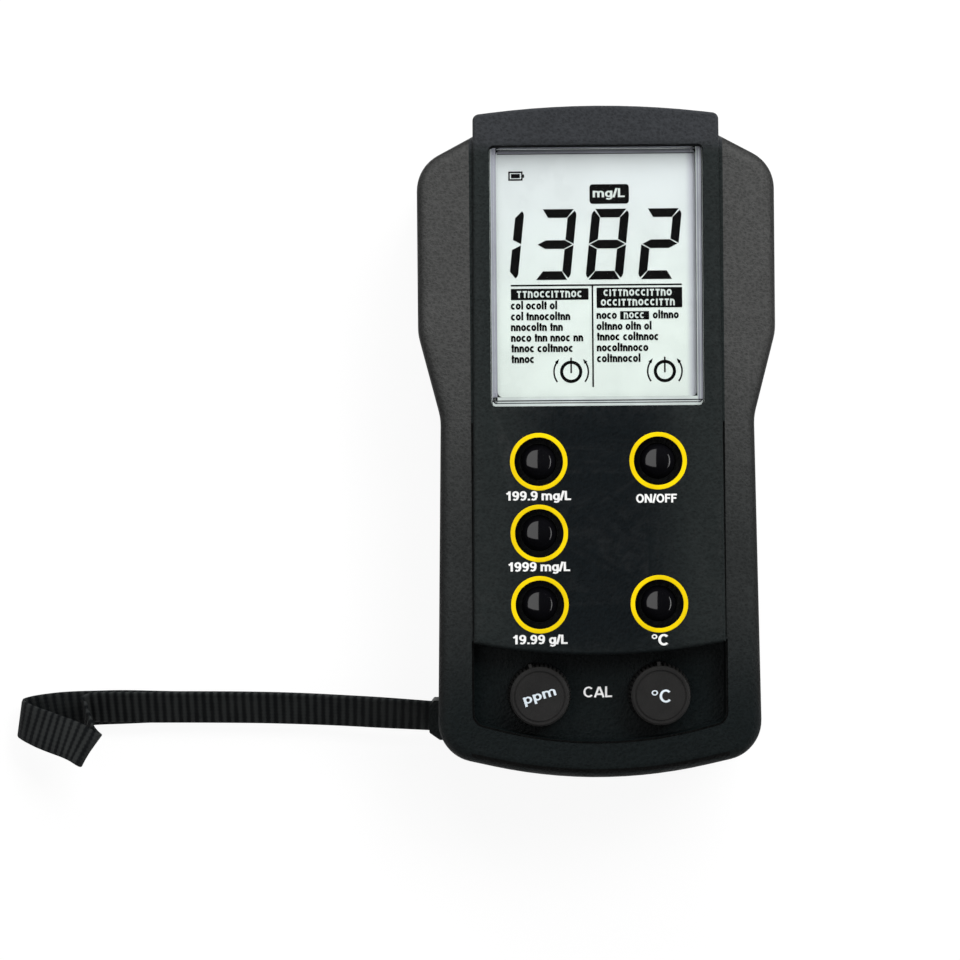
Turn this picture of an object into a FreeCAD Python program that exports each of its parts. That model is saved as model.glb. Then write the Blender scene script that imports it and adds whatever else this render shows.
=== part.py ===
import FreeCAD, Part
import math
import os

# Handheld conductivity meter, lying on its back. Millimetres. X runs across the case, Y up the face
# towards the display, Z out of the face. The origin is under the middle of the back.
V = FreeCAD.Vector
X_AXIS = V(1, 0, 0)
Y_AXIS = V(0, 1, 0)
Z_AXIS = V(0, 0, 1)

# Case: overall sizes
case_length = 150.0
case_width = 80.0
case_depth = 36.0
wall = 2.2
split_height = 20.0
panel_rise = 1.2
edge_rounding = 3.0

# Case: outline seen from the front
waist_width = 70.2
foot_width = 72.6
shoulder_width = 48.0
shoulder_top = 70.5
shoulder_slope = 28.0
shoulder_radius = 9.0
grip_top = 24.5
grip_bottom = 5.6
grip_radius = 12.0
foot_radius = 9.0
foot_arc_radius = 110.0
foot_slope = 12.6

# Raised middle panel with the forehead at its top
panel_top_width = 54.8
panel_foot_width = 56.2
panel_foot_edge = -44.6
panel_foot_radius = 140.0
panel_foot_slope = 11.0
forehead_arc_radius = 200.0
forehead_slope = 6.8
forehead_corner = 1.5
panel_edge_rounding = 0.8
rear_forehead_foot = 60.0

# Recess for the two knobs
recess_depth = 5.8
recess_foot = -66.8
recess_foot_radius = 90.0
recess_foot_slope = 15.0
recess_corner = 2.7
tray_wall = 1.8
tray_floor = 2.0
rim_step_width = 0.45
rim_step_depth = 0.4

# Display window and the liquid crystal panel behind it
window_width = 47.8
window_length = 58.3
window_middle = 37.15
window_thickness = 2.0
window_bevel = 0.9
window_corner = 1.2
window_sunk = 0.2
window_gap = 0.15
view_width = 44.6
view_length = 55.2
view_middle = 37.8
lcd_width = 48.0
lcd_length = 59.0
lcd_middle = 37.5
lcd_thickness = 2.4
lcd_gap = 0.2
lcd_frame_width = 50.0
lcd_frame_length = 61.2
lcd_frame_ledge = 1.2
contact_strip_length = 40.0
contact_strip_width = 2.2
contact_strip_inset = 1.7
contact_strip_gap = 0.1

# Circuit board and what stands on it
board_post_length = 6.0
board_thickness = 1.6
board_width = 60.6
board_top_width = 50.0
board_foot_width = 54.0
board_top = 68.4
board_top_step = 63.0
board_foot_step = -38.0
board_foot = -65.0
board_corner = 1.0
board_post_radius = 2.2
board_post_x = 28.75
board_post_rows = (57.0, 1.5, -32.0)
board_screw_radius = 0.8
board_screw_length = 6.0
board_screw_head_radius = 1.5
board_screw_head = 1.1
board_screw_slot = 0.5
board_screw_slot_depth = 0.6
screw_play = 0.2
thread_fit = 0.02
driver_chip = (13.0, 36.0, 2.8)
driver_leg_pitch = 2.54
amplifier_chip = (4.0, 8.8, 1.8)
amplifier_leg_pitch = 1.27
amplifier_rows = (-10.0, -28.0)
chip_leg_reach = 0.9
chip_leg_width = 0.5
chip_leg_height = 0.8
chip_stand_off = 0.3
can_radius = 2.0
can_height = 4.6
can_edge = 0.3
can_spacing = 6.4
can_row = -39.8

# Push buttons
button_x = 13.3
button_rows = (-4.25, -20.2, -36.1)
button_radius = 3.85
button_play = 0.2
button_dome_rise = 1.9
button_sunk = 0.1
button_flange_radius = 4.8
button_flange = 1.0
button_travel = 0.8
button_foot = 1.1
button_foot_rim = 0.6
well_radius = 5.4
well_depth = 2.2
switch_width = 6.0
switch_height = 2.4
switch_plunger_radius = 1.7
switch_gap = 0.2

# Knobs, their shafts and potentiometers
knob_x = 13.5
knob_y = -56.6
knob_foot_radius = 7.15
knob_top_radius = 6.55
knob_height = 6.2
knob_chamfer = 0.35
knob_teeth = 42
tooth_depth = 0.45
tooth_overrun = 0.1
knob_floor_gap = 0.4
knob_ring_radius = 5.75
knob_ring_width = 0.35
knob_ring_depth = 0.25
index_width = 0.7
index_reach = 0.35
index_root = 1.0
knob_turns = {"tds": 17.0, "temperature": 3.0}
shaft_radius = 3.0
shaft_play = 0.1
shaft_fit = 0.02
knob_bore_depth = 4.2
pot_width = 10.2
pot_length = 11.6
pot_depth = 5.6
pot_floor = 1.2
pot_corner = 1.0
board_shaft_gap = 0.3

# Case screws
screw_top_x = 34.0
screw_top_below_end = 30.0
screw_foot_x = 31.5
screw_foot_above_end = 25.0
screw_post_radius = 3.2
screw_radius = 1.3
screw_head_radius = 2.5
screw_head = 1.8
screw_sunk = 0.6
screw_grip = 8.0
screw_cross_length = 3.2
screw_cross_width = 0.8
screw_cross_depth = 0.8

# Seal between the case halves
seal_inset = 0.65
seal_width = 0.9
seal_depth = 0.8

# Battery, its compartment and its door
battery_length = 46.4
battery_width = 26.2
battery_thickness = 17.2
battery_rounding = 1.6
battery_gap = 0.4
battery_middle = -30.0
battery_tray_wall = 1.0
terminal_radius = 2.9
terminal_height = 2.0
terminal_spacing = 12.7
snap_thickness = 3.0
snap_width = 23.0
snap_height = 11.0
snap_rounding = 1.5
lead_radius = 0.6
lead_spacing = 3.0
lead_notch = 4.4
lead_notch_depth = 2.8
lead_offset = 7.0
lead_reach = 2.9
lead_drop = 2.0
lead_rise = 1.2
lead_bend = 1.2
door_top = -12.0
door_thickness = 2.0
door_width = 54.0
door_sunk = 0.2
door_gap = 0.3
door_tongue = 0.8
door_tongue_thickness = 1.0
door_rib_width = 18.0
door_rib_count = 5
door_rib_pitch = 1.8
door_rib_depth = 0.6
door_rib_margin = 6.0

# Probe socket in the top end
socket_height = 10.6
socket_radius = 7.5
socket_flange_radius = 8.2
socket_flange = 1.2
socket_length = 16.0
socket_bore_radius = 6.7
socket_bore_depth = 5.6
socket_gap = 0.1
socket_pad_half_width = 10.0
socket_pad = 3.0
socket_nut_radius = 8.25
socket_nut = 2.0
socket_nut_notch = 1.4
insert_radius = 6.2
insert_length = 8.0
contact_count = 7
contact_circle = 3.6
contact_angle = 45.0
contact_radius = 0.75
contact_sunk = 3.0
contact_tail = 3.0
socket_key_width = 1.6
socket_key_depth = 0.6

# Wrist strap and the lug that it comes out of
strap_width = 9.0
strap_thickness = 1.2
strap_above_corner = 6.9
strap_height = 6.8
strap_play = 0.35
strap_layer_gap = 3.2
strap_floor_gap = 0.3
lug_reach = 2.4
lug_above_strap = 3.7
lug_below_strap = 3.7
lug_slope = 1.7
lug_wall = 0.8
lug_root = 2.4
lug_corner = 1.0
lug_corner_drop = 1.4
lug_rounding = 0.6
lug_top = 12.4
lug_foot = 0.8
anchor_gap = 1.0
anchor_thickness = 2.4
anchor_width = 5.6
anchor_height = 9.0

# Heights worked out from the sizes above
shoulder_height = case_depth - panel_rise
ceiling = shoulder_height - wall
recess_level = shoulder_height - recess_depth
board_level = ceiling - board_post_length
board_height = board_level - board_thickness
case_end = case_length / 2


def sloped_foot(x_half, end, slope, radius):
    """Corners of an arched end: the side corner's Y and the corner on the middle line."""
    rise = radius * (1 / math.cos(math.radians(slope)) - 1)
    middle = end + math.copysign(rise, end)
    side = middle - math.copysign(x_half * math.tan(math.radians(slope)), end)
    return side, middle


def case_corners():
    """Outline of both case halves without the forehead, as (x, y, radius), right side first."""
    half = case_width / 2
    foot_side, foot_middle = sloped_foot(foot_width / 2, -case_end, foot_slope, foot_arc_radius)
    drop = (half - shoulder_width / 2) * math.tan(math.radians(shoulder_slope))
    right = [
        (shoulder_width / 2, shoulder_top, 0),
        (half, shoulder_top - drop, shoulder_radius),
        (half, grip_top, grip_radius),
        (waist_width / 2, grip_bottom, grip_radius),
        (foot_width / 2, foot_side, foot_radius),
    ]
    return right + [(0, foot_middle, foot_arc_radius)] + mirrored(right)


def side_at(y):
    """Half the case's width at a place between the waist and the foot's corner."""
    foot_side, _ = sloped_foot(foot_width / 2, -case_end, foot_slope, foot_arc_radius)
    share = (grip_bottom - y) / (grip_bottom - foot_side)
    return (waist_width + (foot_width - waist_width) * share) / 2


def strap_row():
    """Y of the middle of the strap's lug, a little above the foot's corner."""
    foot_side, _ = sloped_foot(foot_width / 2, -case_end, foot_slope, foot_arc_radius)
    return foot_side + strap_above_corner


def panel_corners(foot):
    """Outline of the forehead and the raised panel, down to the recess or to a straight foot."""
    top_side, top_middle = sloped_foot(panel_top_width / 2, case_end, forehead_slope, forehead_arc_radius)
    right = [(panel_top_width / 2, top_side, forehead_corner)]
    if foot is None:
        right.append((panel_foot_width / 2, panel_foot_edge, 0))
        reach = panel_foot_width / 2 * math.tan(math.radians(panel_foot_slope))
        middle = [(0, panel_foot_edge - reach, panel_foot_radius)]
    else:
        right.append((panel_top_width / 2, foot, 0))
        middle = []
    return [(0, top_middle, forehead_arc_radius)] + right + middle + mirrored(right)


def recess_corners():
    """Outline of the knob recess: its top edge is the panel's foot."""
    foot_side, foot_middle = sloped_foot(
        panel_foot_width / 2, recess_foot, recess_foot_slope, recess_foot_radius
    )
    reach = panel_foot_width / 2 * math.tan(math.radians(panel_foot_slope))
    right = [
        (panel_foot_width / 2, panel_foot_edge, 0),
        (panel_foot_width / 2, foot_side, recess_corner),
    ]
    foot = [(0, foot_middle, recess_foot_radius)]
    top = [(0, panel_foot_edge - reach, panel_foot_radius)]
    return right + foot + mirrored(right) + top


def mirrored(corners):
    """The same corners on the left side, in the order that closes the outline."""
    return [(-x, y, radius) for x, y, radius in reversed(corners)]


def rectangle_corners(width, length, middle_y, radius, middle_x=0.0):
    """Corners of a rectangle that is centred on (middle_x, middle_y)."""
    half_x = width / 2
    half_y = length / 2
    return [
        (middle_x + half_x, middle_y + half_y, radius),
        (middle_x + half_x, middle_y - half_y, radius),
        (middle_x - half_x, middle_y - half_y, radius),
        (middle_x - half_x, middle_y + half_y, radius),
    ]


def inset(corners, amount):
    """The outline moved inwards by amount, or outwards where amount is negative."""
    count = len(corners)
    moved = []
    for i, (x, y, radius) in enumerate(corners):
        here = V(x, y, 0)
        before = here - V(corners[i - 1][0], corners[i - 1][1], 0)
        after = V(corners[(i + 1) % count][0], corners[(i + 1) % count][1], 0) - here
        before.normalize()
        after.normalize()
        inward_before = V(before.y, -before.x, 0)
        inward_after = V(after.y, -after.x, 0)
        turn = before.x * after.y - before.y * after.x
        bisector = inward_before + inward_after
        shift = bisector * (amount / (1 + inward_before.dot(inward_after)))
        if radius > 0:
            radius = max(radius - amount, 0.2) if turn < 0 else max(radius + amount, 0.2)
        moved.append((here.x + shift.x, here.y + shift.y, radius))
    return moved


def outline(corners, height):
    """Closed wire through the corners, each one rounded by a tangent arc of its radius."""
    spans = []
    count = len(corners)
    for i, (x, y, radius) in enumerate(corners):
        here = V(x, y, height)
        back = V(corners[i - 1][0], corners[i - 1][1], height) - here
        ahead = V(corners[(i + 1) % count][0], corners[(i + 1) % count][1], height) - here
        back.normalize()
        ahead.normalize()
        half_angle = back.getAngle(ahead) / 2
        reach = radius / math.tan(half_angle)
        bisector = (back + ahead).normalize()
        middle = here + bisector * (radius / math.sin(half_angle) - radius)
        spans.append((here + back * reach, middle, here + ahead * reach, radius > 0))
    edges = []
    for i, (start, middle, end, is_round) in enumerate(spans):
        previous = spans[i - 1][2]
        if previous.distanceToPoint(start) > 1e-6:
            edges.append(Part.LineSegment(previous, start).toShape())
        if is_round:
            edges.append(Part.Arc(start, middle, end).toShape())
    return Part.Wire(edges)


def slab(corners, bottom, top):
    """Straight prism of an outline between two heights."""
    return Part.Face(outline(corners, bottom)).extrude(V(0, 0, top - bottom))


def box(x, y, z):
    """Box from three (low, high) pairs."""
    return Part.makeBox(x[1] - x[0], y[1] - y[0], z[1] - z[0], V(x[0], y[0], z[0]))


def rod(radius, x, y, bottom, top):
    """Upright cylinder between two heights."""
    return Part.makeCylinder(radius, top - bottom, V(x, y, bottom), Z_AXIS)


def rod_along_y(radius, x, z, start, end):
    """Cylinder along Y between two places."""
    return Part.makeCylinder(radius, end - start, V(x, start, z), Y_AXIS)


def both_sides(place):
    """A place and its mirror image."""
    return [(place[0], place[1]), (-place[0], place[1])]


def rounded(shape, height, radius):
    """Rounds the edges that lie wholly at one height."""
    edges = []
    for edge in shape.Edges:
        limits = edge.BoundBox
        if abs(limits.ZMin - height) < 1e-4 and abs(limits.ZMax - height) < 1e-4:
            edges.append(edge)
    return shape.makeFillet(radius, edges)


def whole(shape):
    """Joins faces that lie in one surface."""
    return shape.removeSplitter()


def button_places():
    """Name and centre of each push button."""
    top, middle, foot = button_rows
    return {
        "low_range_button": (-button_x, top),
        "middle_range_button": (-button_x, middle),
        "high_range_button": (-button_x, foot),
        "power_button": (button_x, top),
        "temperature_button": (button_x, foot),
    }


def knob_places():
    """Name and centre of each knob."""
    return {"tds": (-knob_x, knob_y), "temperature": (knob_x, knob_y)}


def board_post_places():
    """Centres of the posts that carry the circuit board."""
    return [place for row in board_post_rows for place in both_sides((board_post_x, row))]


def case_screw_places():
    """Centres of the screws that hold the case halves together."""
    top = (screw_top_x, case_end - screw_top_below_end)
    foot = (screw_foot_x, -case_end + screw_foot_above_end)
    return both_sides(top) + both_sides(foot)


def case_cavity(bottom, top):
    """Space inside the walls between two heights."""
    space = slab(inset(case_corners(), wall), bottom, top)
    return space.fuse(slab(inset(panel_corners(rear_forehead_foot), wall), bottom, top))


def front_case():
    """Front half: shoulders, raised panel, window seat, button wells and knob recess."""
    shell = rounded(slab(case_corners(), split_height, shoulder_height), shoulder_height, edge_rounding)
    panel = slab(panel_corners(None), split_height, case_depth)
    shell = shell.fuse(rounded(panel, case_depth, panel_edge_rounding))
    tray = slab(inset(recess_corners(), -tray_wall), recess_level - tray_floor, shoulder_height)
    shell = shell.cut(case_cavity(split_height, ceiling).cut(tray))
    posts = [rod(board_post_radius, x, y, board_level, ceiling) for x, y in board_post_places()]
    inside = case_cavity(split_height, ceiling)
    for x, y in case_screw_places():
        posts.append(rod(screw_post_radius, x, y, split_height, ceiling).common(inside))
    shell = shell.fuse(posts)
    cuts = [slab(recess_corners(), recess_level, case_depth)]
    rim = inset(recess_corners(), -rim_step_width)
    cuts.append(slab(rim, shoulder_height - rim_step_depth, shoulder_height).cut(panel))
    cuts.append(slab(window_seat(0), case_depth - window_sunk - window_thickness, case_depth))
    view = rectangle_corners(view_width, view_length, view_middle, window_corner)
    cuts.append(slab(view, ceiling, case_depth))
    for x, y in button_places().values():
        cuts.append(rod(well_radius, x, y, case_depth - well_depth, case_depth))
        cuts.append(rod(button_radius + button_play, x, y, ceiling, case_depth))
    for x, y in knob_places().values():
        cuts.append(rod(shaft_radius + shaft_play, x, y, recess_level - tray_floor, recess_level))
    for x, y in board_post_places():
        cuts.append(rod(board_screw_radius, x, y, board_level, board_height + board_screw_length))
    for x, y in case_screw_places():
        cuts.append(rod(screw_radius, x, y, split_height, split_height + screw_grip + screw_play))
    return whole(shell.cut(cuts))


def window_seat(gap):
    """Outline of the rebate that the window lies in, smaller by gap for the window."""
    corners = rectangle_corners(window_width, window_length, window_middle, window_corner)
    return inset(corners, gap)


def rear_case():
    """Rear half: back wall, battery compartment, door track, screw posts, socket seat and strap lug."""
    shell = rounded(slab(case_corners(), 0, split_height), 0, edge_rounding)
    forehead = slab(panel_corners(rear_forehead_foot), 0, split_height)
    shell = shell.fuse(rounded(forehead, 0, panel_edge_rounding))
    shell = shell.fuse(strap_lug())
    shell = shell.cut(case_cavity(wall, split_height))
    inside = case_cavity(0, split_height)
    track = door_track(-wall)
    shell = shell.fuse(track.common(inside))
    shell = shell.fuse(battery_tray(battery_tray_wall, 0))
    posts = [rod(screw_post_radius, x, y, 0, split_height).common(inside) for x, y in case_screw_places()]
    seat_face = case_end - socket_flange
    pad = box(
        (-socket_pad_half_width, socket_pad_half_width),
        (seat_face - socket_pad, seat_face),
        (0, split_height),
    )
    posts.append(pad.common(inside))
    shell = shell.fuse(posts)
    cuts = [door_track(0), battery_tray(0, door_depth())]
    cuts.append(lead_opening())
    for x, y in case_screw_places():
        cuts.append(rod(screw_radius + screw_play, x, y, 0, split_height))
        cuts.append(rod(screw_head_radius + screw_play, x, y, 0, screw_seat_height()))
    cuts.append(rod_along_y(socket_flange_radius + socket_gap, 0, socket_height, seat_face, case_end + wall))
    cuts.append(rod_along_y(socket_radius + socket_gap, 0, socket_height, seat_face - socket_pad, seat_face))
    cuts.append(strap_slot())
    cuts.append(seal_ring())
    return whole(shell.cut(cuts))


def door_depth():
    """Depth of the door track below the back face."""
    return door_sunk + door_thickness + door_gap


def door_track(thickness):
    """Space that the door slides in, with its side grooves, or a block that is thicker by -thickness."""
    grow = -thickness
    half = door_width / 2 + door_gap + grow
    foot = -case_end - edge_rounding
    body = box((-half, half), (foot, door_top + door_gap + grow), (0, door_depth() + grow))
    groove_low = door_sunk + door_thickness - door_tongue_thickness - door_gap
    groove = box(
        (-half - door_tongue, half + door_tongue),
        (foot, door_top + door_gap + grow),
        (groove_low, door_depth() + grow),
    )
    return body.fuse(groove)


def battery_space():
    """Low and high corners of the space inside the battery compartment."""
    length = battery_length + terminal_height + snap_thickness + 2 * battery_gap
    width = battery_width + 2 * battery_gap
    low = V(-length / 2, battery_middle - width / 2, door_depth())
    high = V(length / 2, battery_middle + width / 2, door_depth() + battery_thickness + battery_gap)
    return low, high


def battery_tray(thickness, bottom):
    """Block round the battery space, open towards the door."""
    low, high = battery_space()
    return box(
        (low.x - thickness, high.x + thickness),
        (low.y - thickness, high.y + thickness),
        (bottom, high.z + thickness),
    )


def lead_opening():
    """Notch in the end of the compartment for the two battery leads."""
    low, high = battery_space()
    middle = high.x + battery_tray_wall / 2
    return box(
        (high.x - battery_tray_wall, middle + battery_tray_wall),
        (battery_middle + lead_offset - lead_notch / 2, battery_middle + lead_offset + lead_notch / 2),
        (high.z - lead_notch_depth, high.z + battery_tray_wall),
    )


def screw_seat_height():
    """Height at which the heads of the case screws bear."""
    return screw_sunk + screw_head


def strap_lug():
    """Lug on the left side that the strap comes out of, with a slanted lower edge."""
    side = -side_at(strap_row())
    face = side - lug_reach
    root = side + lug_root + lug_slope
    top = strap_row() + lug_above_strap
    foot = strap_row() - lug_below_strap
    corners = [
        (face + lug_corner, top, lug_rounding),
        (root, top, 0),
        (root, foot - lug_slope, 0),
        (side, foot - lug_slope, lug_rounding),
        (face, foot, lug_rounding),
        (face, top - lug_corner_drop, lug_rounding),
    ]
    return slab(corners, lug_foot, lug_top)


def strap_slot():
    """Slot through the lug and the wall for both layers of the strap."""
    half_z = strap_width / 2 + strap_play
    return box(
        (-side_at(strap_row()) - lug_reach - lug_wall, anchor_face()),
        (strap_row() - lug_below_strap + lug_wall, strap_row() + lug_above_strap - lug_wall),
        (strap_height - half_z, strap_height + half_z),
    )


def anchor_face():
    """X of the anchor's outer face, which the strap's ends meet."""
    return -side_at(strap_row()) + wall + anchor_gap


def seal_ring():
    """Flat seal in its groove round the rim of the rear half."""
    rings = []
    for amount in (seal_inset, seal_inset + seal_width):
        parts = []
        for corners in (case_corners(), panel_corners(rear_forehead_foot)):
            parts.append(slab(inset(corners, amount), split_height - seal_depth, split_height))
        rings.append(parts[0].fuse(parts[1]))
    return rings[0].cut(rings[1])


def display_window():
    """Clear window with bevelled front edges."""
    top = case_depth - window_sunk
    corners = window_seat(window_gap)
    pane = slab(corners, top - window_thickness, top)
    edges = [edge for edge in pane.Edges if abs(edge.BoundBox.ZMin - top) < 1e-4]
    return pane.makeChamfer(window_bevel, edges)


def lcd_panel():
    """Liquid crystal panel: two glass plates as one block, close under the panel's ledge."""
    top = ceiling - lcd_gap
    corners = rectangle_corners(lcd_width, lcd_length, lcd_middle, 0)
    return slab(corners, top - lcd_thickness, top)


def contact_strip_places():
    """Y of the two elastic strips that join the display to the board."""
    half = lcd_length / 2 - contact_strip_inset
    return (lcd_middle - half, lcd_middle + half)


def lcd_frame():
    """Frame that holds the display over the circuit board."""
    top = ceiling - lcd_gap
    seat = top - lcd_thickness
    outer = rectangle_corners(lcd_frame_width, lcd_frame_length, lcd_middle, window_corner)
    frame = slab(outer, board_level, top)
    pocket = rectangle_corners(lcd_width + 2 * lcd_gap, lcd_length + 2 * lcd_gap, lcd_middle, 0)
    frame = frame.cut(slab(pocket, seat, top))
    opening_length = lcd_length - 2 * (contact_strip_inset + contact_strip_width)
    opening_width = lcd_width - 4 * lcd_frame_ledge
    opening = rectangle_corners(opening_width, opening_length, lcd_middle, window_corner)
    frame = frame.cut(slab(opening, board_level, seat))
    for place in contact_strip_places():
        slot = rectangle_corners(
            contact_strip_length + 2 * contact_strip_gap,
            contact_strip_width + 2 * contact_strip_gap,
            place,
            0,
        )
        frame = frame.cut(slab(slot, board_level, seat))
    return frame


def lcd_contact_strips():
    """Two striped rubber strips between the board and the display."""
    top = ceiling - lcd_gap - lcd_thickness
    strips = []
    for place in contact_strip_places():
        strip = rectangle_corners(contact_strip_length, contact_strip_width, place, 0)
        strips.append(slab(strip, board_level, top))
    return Part.makeCompound(strips)


def circuit_board():
    """Board with a narrow head behind the display and a narrow foot between the screw posts."""
    right = [
        (board_top_width / 2, board_top, board_corner),
        (board_top_width / 2, board_top_step, board_corner),
        (board_width / 2, board_top_step, board_corner),
        (board_width / 2, board_foot_step, board_corner),
        (board_foot_width / 2, board_foot_step, board_corner),
        (board_foot_width / 2, board_foot, board_corner),
    ]
    board = slab(right + mirrored(right), board_height, board_level)
    holes = [
        rod(board_screw_radius + screw_play, x, y, board_height, board_level) for x, y in board_post_places()
    ]
    for x, y in knob_places().values():
        holes.append(rod(shaft_radius + board_shaft_gap, x, y, board_height, board_level))
    return board.cut(holes)


def chip(size, y, leg_pitch):
    """Chip on the board's middle line: a body with two rows of short legs."""
    width, length, height = size
    body = box(
        (-width / 2, width / 2),
        (y - length / 2, y + length / 2),
        (board_level + chip_stand_off, board_level + height),
    )
    rows = int((length - leg_pitch) / leg_pitch) + 1
    legs = []
    for row in range(rows):
        leg_y = y - (rows - 1) * leg_pitch / 2 + row * leg_pitch
        legs.append(
            box(
                (-width / 2 - chip_leg_reach, width / 2 + chip_leg_reach),
                (leg_y - chip_leg_width / 2, leg_y + chip_leg_width / 2),
                (board_level, board_level + chip_leg_height),
            )
        )
    return body.fuse(legs)


def circuit_chips():
    """Display driver behind the display, and two small amplifiers beside the buttons."""
    chips = [chip(driver_chip, lcd_middle, driver_leg_pitch)]
    for row in amplifier_rows:
        chips.append(chip(amplifier_chip, row, amplifier_leg_pitch))
    return Part.makeCompound(chips)


def capacitors():
    """Two small electrolytic cans standing on the board between the buttons and the recess."""
    cans = []
    top = board_level + can_height
    for side in (-1, 1):
        can = rod(can_radius, side * can_spacing / 2, can_row, board_level, top)
        rim = [edge for edge in can.Edges if abs(edge.BoundBox.ZMin - top) < 1e-4]
        cans.append(can.makeChamfer(can_edge, rim))
    return Part.makeCompound(cans)


def button_cap(x, y):
    """Domed button: foot, flange under the panel and polished dome."""
    flange_top = ceiling - switch_gap
    flange_low = flange_top - button_flange
    foot_low = flange_low - button_foot
    top = case_depth - button_sunk
    shoulder = top - button_dome_rise
    dome_radius = (button_radius**2 + button_dome_rise**2) / (2 * button_dome_rise)
    half_arc = math.asin(button_radius / dome_radius) / 2
    crown = V(dome_radius * math.sin(half_arc), 0, top - dome_radius + dome_radius * math.cos(half_arc))
    foot_radius = switch_plunger_radius + button_foot_rim
    profile = [
        V(0, 0, top),
        V(0, 0, foot_low),
        V(foot_radius, 0, foot_low),
        V(foot_radius, 0, flange_low),
        V(button_flange_radius, 0, flange_low),
        V(button_flange_radius, 0, flange_top),
        V(button_radius, 0, flange_top),
        V(button_radius, 0, shoulder),
    ]
    edges = [Part.LineSegment(profile[i], profile[i + 1]).toShape() for i in range(len(profile) - 1)]
    edges.append(Part.Arc(profile[-1], crown, profile[0]).toShape())
    cap = Part.Face(Part.Wire(edges)).revolve(V(0, 0, 0), Z_AXIS, 360)
    cap.translate(V(x, y, 0))
    return cap


def button_switches():
    """Five push switches on the board, one under each button."""
    cap_foot = ceiling - switch_gap - button_flange - button_foot
    switches = []
    for x, y in button_places().values():
        half = switch_width / 2
        body = box((x - half, x + half), (y - half, y + half), (board_level, board_level + switch_height))
        top = cap_foot - button_travel - switch_gap
        switches.append(body.fuse(rod(switch_plunger_radius, x, y, board_level, top)))
    return Part.makeCompound(switches)


def knob(x, y, turn):
    """Tapered knob with a knurled skirt, a ring groove in its top face and an index ridge."""
    bottom = recess_level + knob_floor_gap
    top = bottom + knob_height
    body = Part.makeCone(knob_foot_radius, knob_top_radius, knob_height, V(0, 0, bottom), Z_AXIS)
    grooves = []
    half_tooth = math.pi * knob_foot_radius / knob_teeth * 0.5
    tooth_top = knob_height - knob_chamfer * 2
    for tooth in range(knob_teeth):
        tip = knob_foot_radius - tooth_depth
        lean = knob_foot_radius - knob_top_radius
        start = bottom - tooth_overrun
        rim = knob_foot_radius + tooth_overrun
        low = [V(tip, 0, start), V(rim, half_tooth, start), V(rim, -half_tooth, start)]
        groove = Part.Face(Part.makePolygon(low + [low[0]])).extrude(V(-lean, 0, tooth_top))
        groove.rotate(V(0, 0, 0), Z_AXIS, (tooth + 0.5) * 360 / knob_teeth)
        grooves.append(groove)
    body = body.cut(grooves)
    edge = top - knob_chamfer
    rim = Part.makeCone(knob_top_radius, knob_top_radius - knob_chamfer, knob_chamfer, V(0, 0, edge))
    collar = rod(knob_foot_radius, 0, 0, edge, top + tooth_overrun)
    body = body.cut(collar.cut(rim))
    ring = rod(knob_ring_radius, 0, 0, top - knob_ring_depth, top)
    body = body.cut(ring.cut(rod(knob_ring_radius - knob_ring_width, 0, 0, top - knob_ring_depth, top)))
    index = box(
        (-index_width / 2, index_width / 2),
        (knob_top_radius - index_root, knob_foot_radius + index_reach),
        (bottom, top - knob_chamfer * 2),
    )
    body = body.fuse(index)
    body = body.cut(rod(shaft_radius + shaft_fit, 0, 0, bottom, bottom + knob_bore_depth))
    body.rotate(V(0, 0, 0), Z_AXIS, turn)
    body.translate(V(x, y, 0))
    return whole(body)


def shaft(x, y):
    """Shaft from the potentiometer through the board and the recess floor into the knob."""
    top = recess_level + knob_floor_gap + knob_bore_depth - shaft_fit
    return rod(shaft_radius, x, y, board_height - pot_depth + pot_floor, top)


def potentiometer(x, y):
    """Potentiometer under the board, with the hole that its shaft turns in."""
    body = slab(
        rectangle_corners(pot_width, pot_length, y, pot_corner, x), board_height - pot_depth, board_height
    )
    floor = board_height - pot_depth + pot_floor - shaft_play
    return body.cut(rod(shaft_radius + shaft_play, x, y, floor, board_height))


def case_screws():
    """Four long screws that go in from the back."""
    screws = []
    long = screw_cross_length / 2
    thin = screw_cross_width / 2
    cut = (screw_sunk, screw_sunk + screw_cross_depth)
    for x, y in case_screw_places():
        head = rod(screw_head_radius, x, y, screw_sunk, screw_seat_height())
        slot = box((x - thin, x + thin), (y - long, y + long), cut)
        cross = box((x - long, x + long), (y - thin, y + thin), cut)
        shank = rod(screw_radius - thread_fit, x, y, screw_sunk, split_height + screw_grip)
        screws.append(head.fuse(shank).cut([slot, cross]))
    return Part.makeCompound(screws)


def board_screws():
    """Six short screws that hold the board against its posts."""
    screws = []
    low = board_height - board_screw_head
    tip = board_height + board_screw_length - screw_play
    for x, y in board_post_places():
        head = rod(board_screw_head_radius, x, y, low, board_height)
        shank = rod(board_screw_radius - thread_fit, x, y, board_height, tip)
        slot = box(
            (x - board_screw_head_radius, x + board_screw_head_radius),
            (y - board_screw_slot / 2, y + board_screw_slot / 2),
            (low, low + board_screw_slot_depth),
        )
        screws.append(head.fuse(shank).cut(slot))
    return Part.makeCompound(screws)


def battery():
    """Nine volt block battery on its side, with its two terminals at the right end."""
    low, high = battery_space()
    start = low.x + battery_gap
    end = start + battery_length
    bottom = low.z
    body = box(
        (start, end),
        (battery_middle - battery_width / 2, battery_middle + battery_width / 2),
        (bottom, bottom + battery_thickness),
    )
    along = [edge for edge in body.Edges if abs(edge.BoundBox.XLength - battery_length) < 1e-4]
    body = body.makeFillet(battery_rounding, along)
    middle = bottom + battery_thickness / 2
    for side in (-1, 1):
        place = V(end, battery_middle + side * terminal_spacing / 2, middle)
        body = body.fuse(Part.makeCylinder(terminal_radius, terminal_height, place, X_AXIS))
    return body


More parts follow.
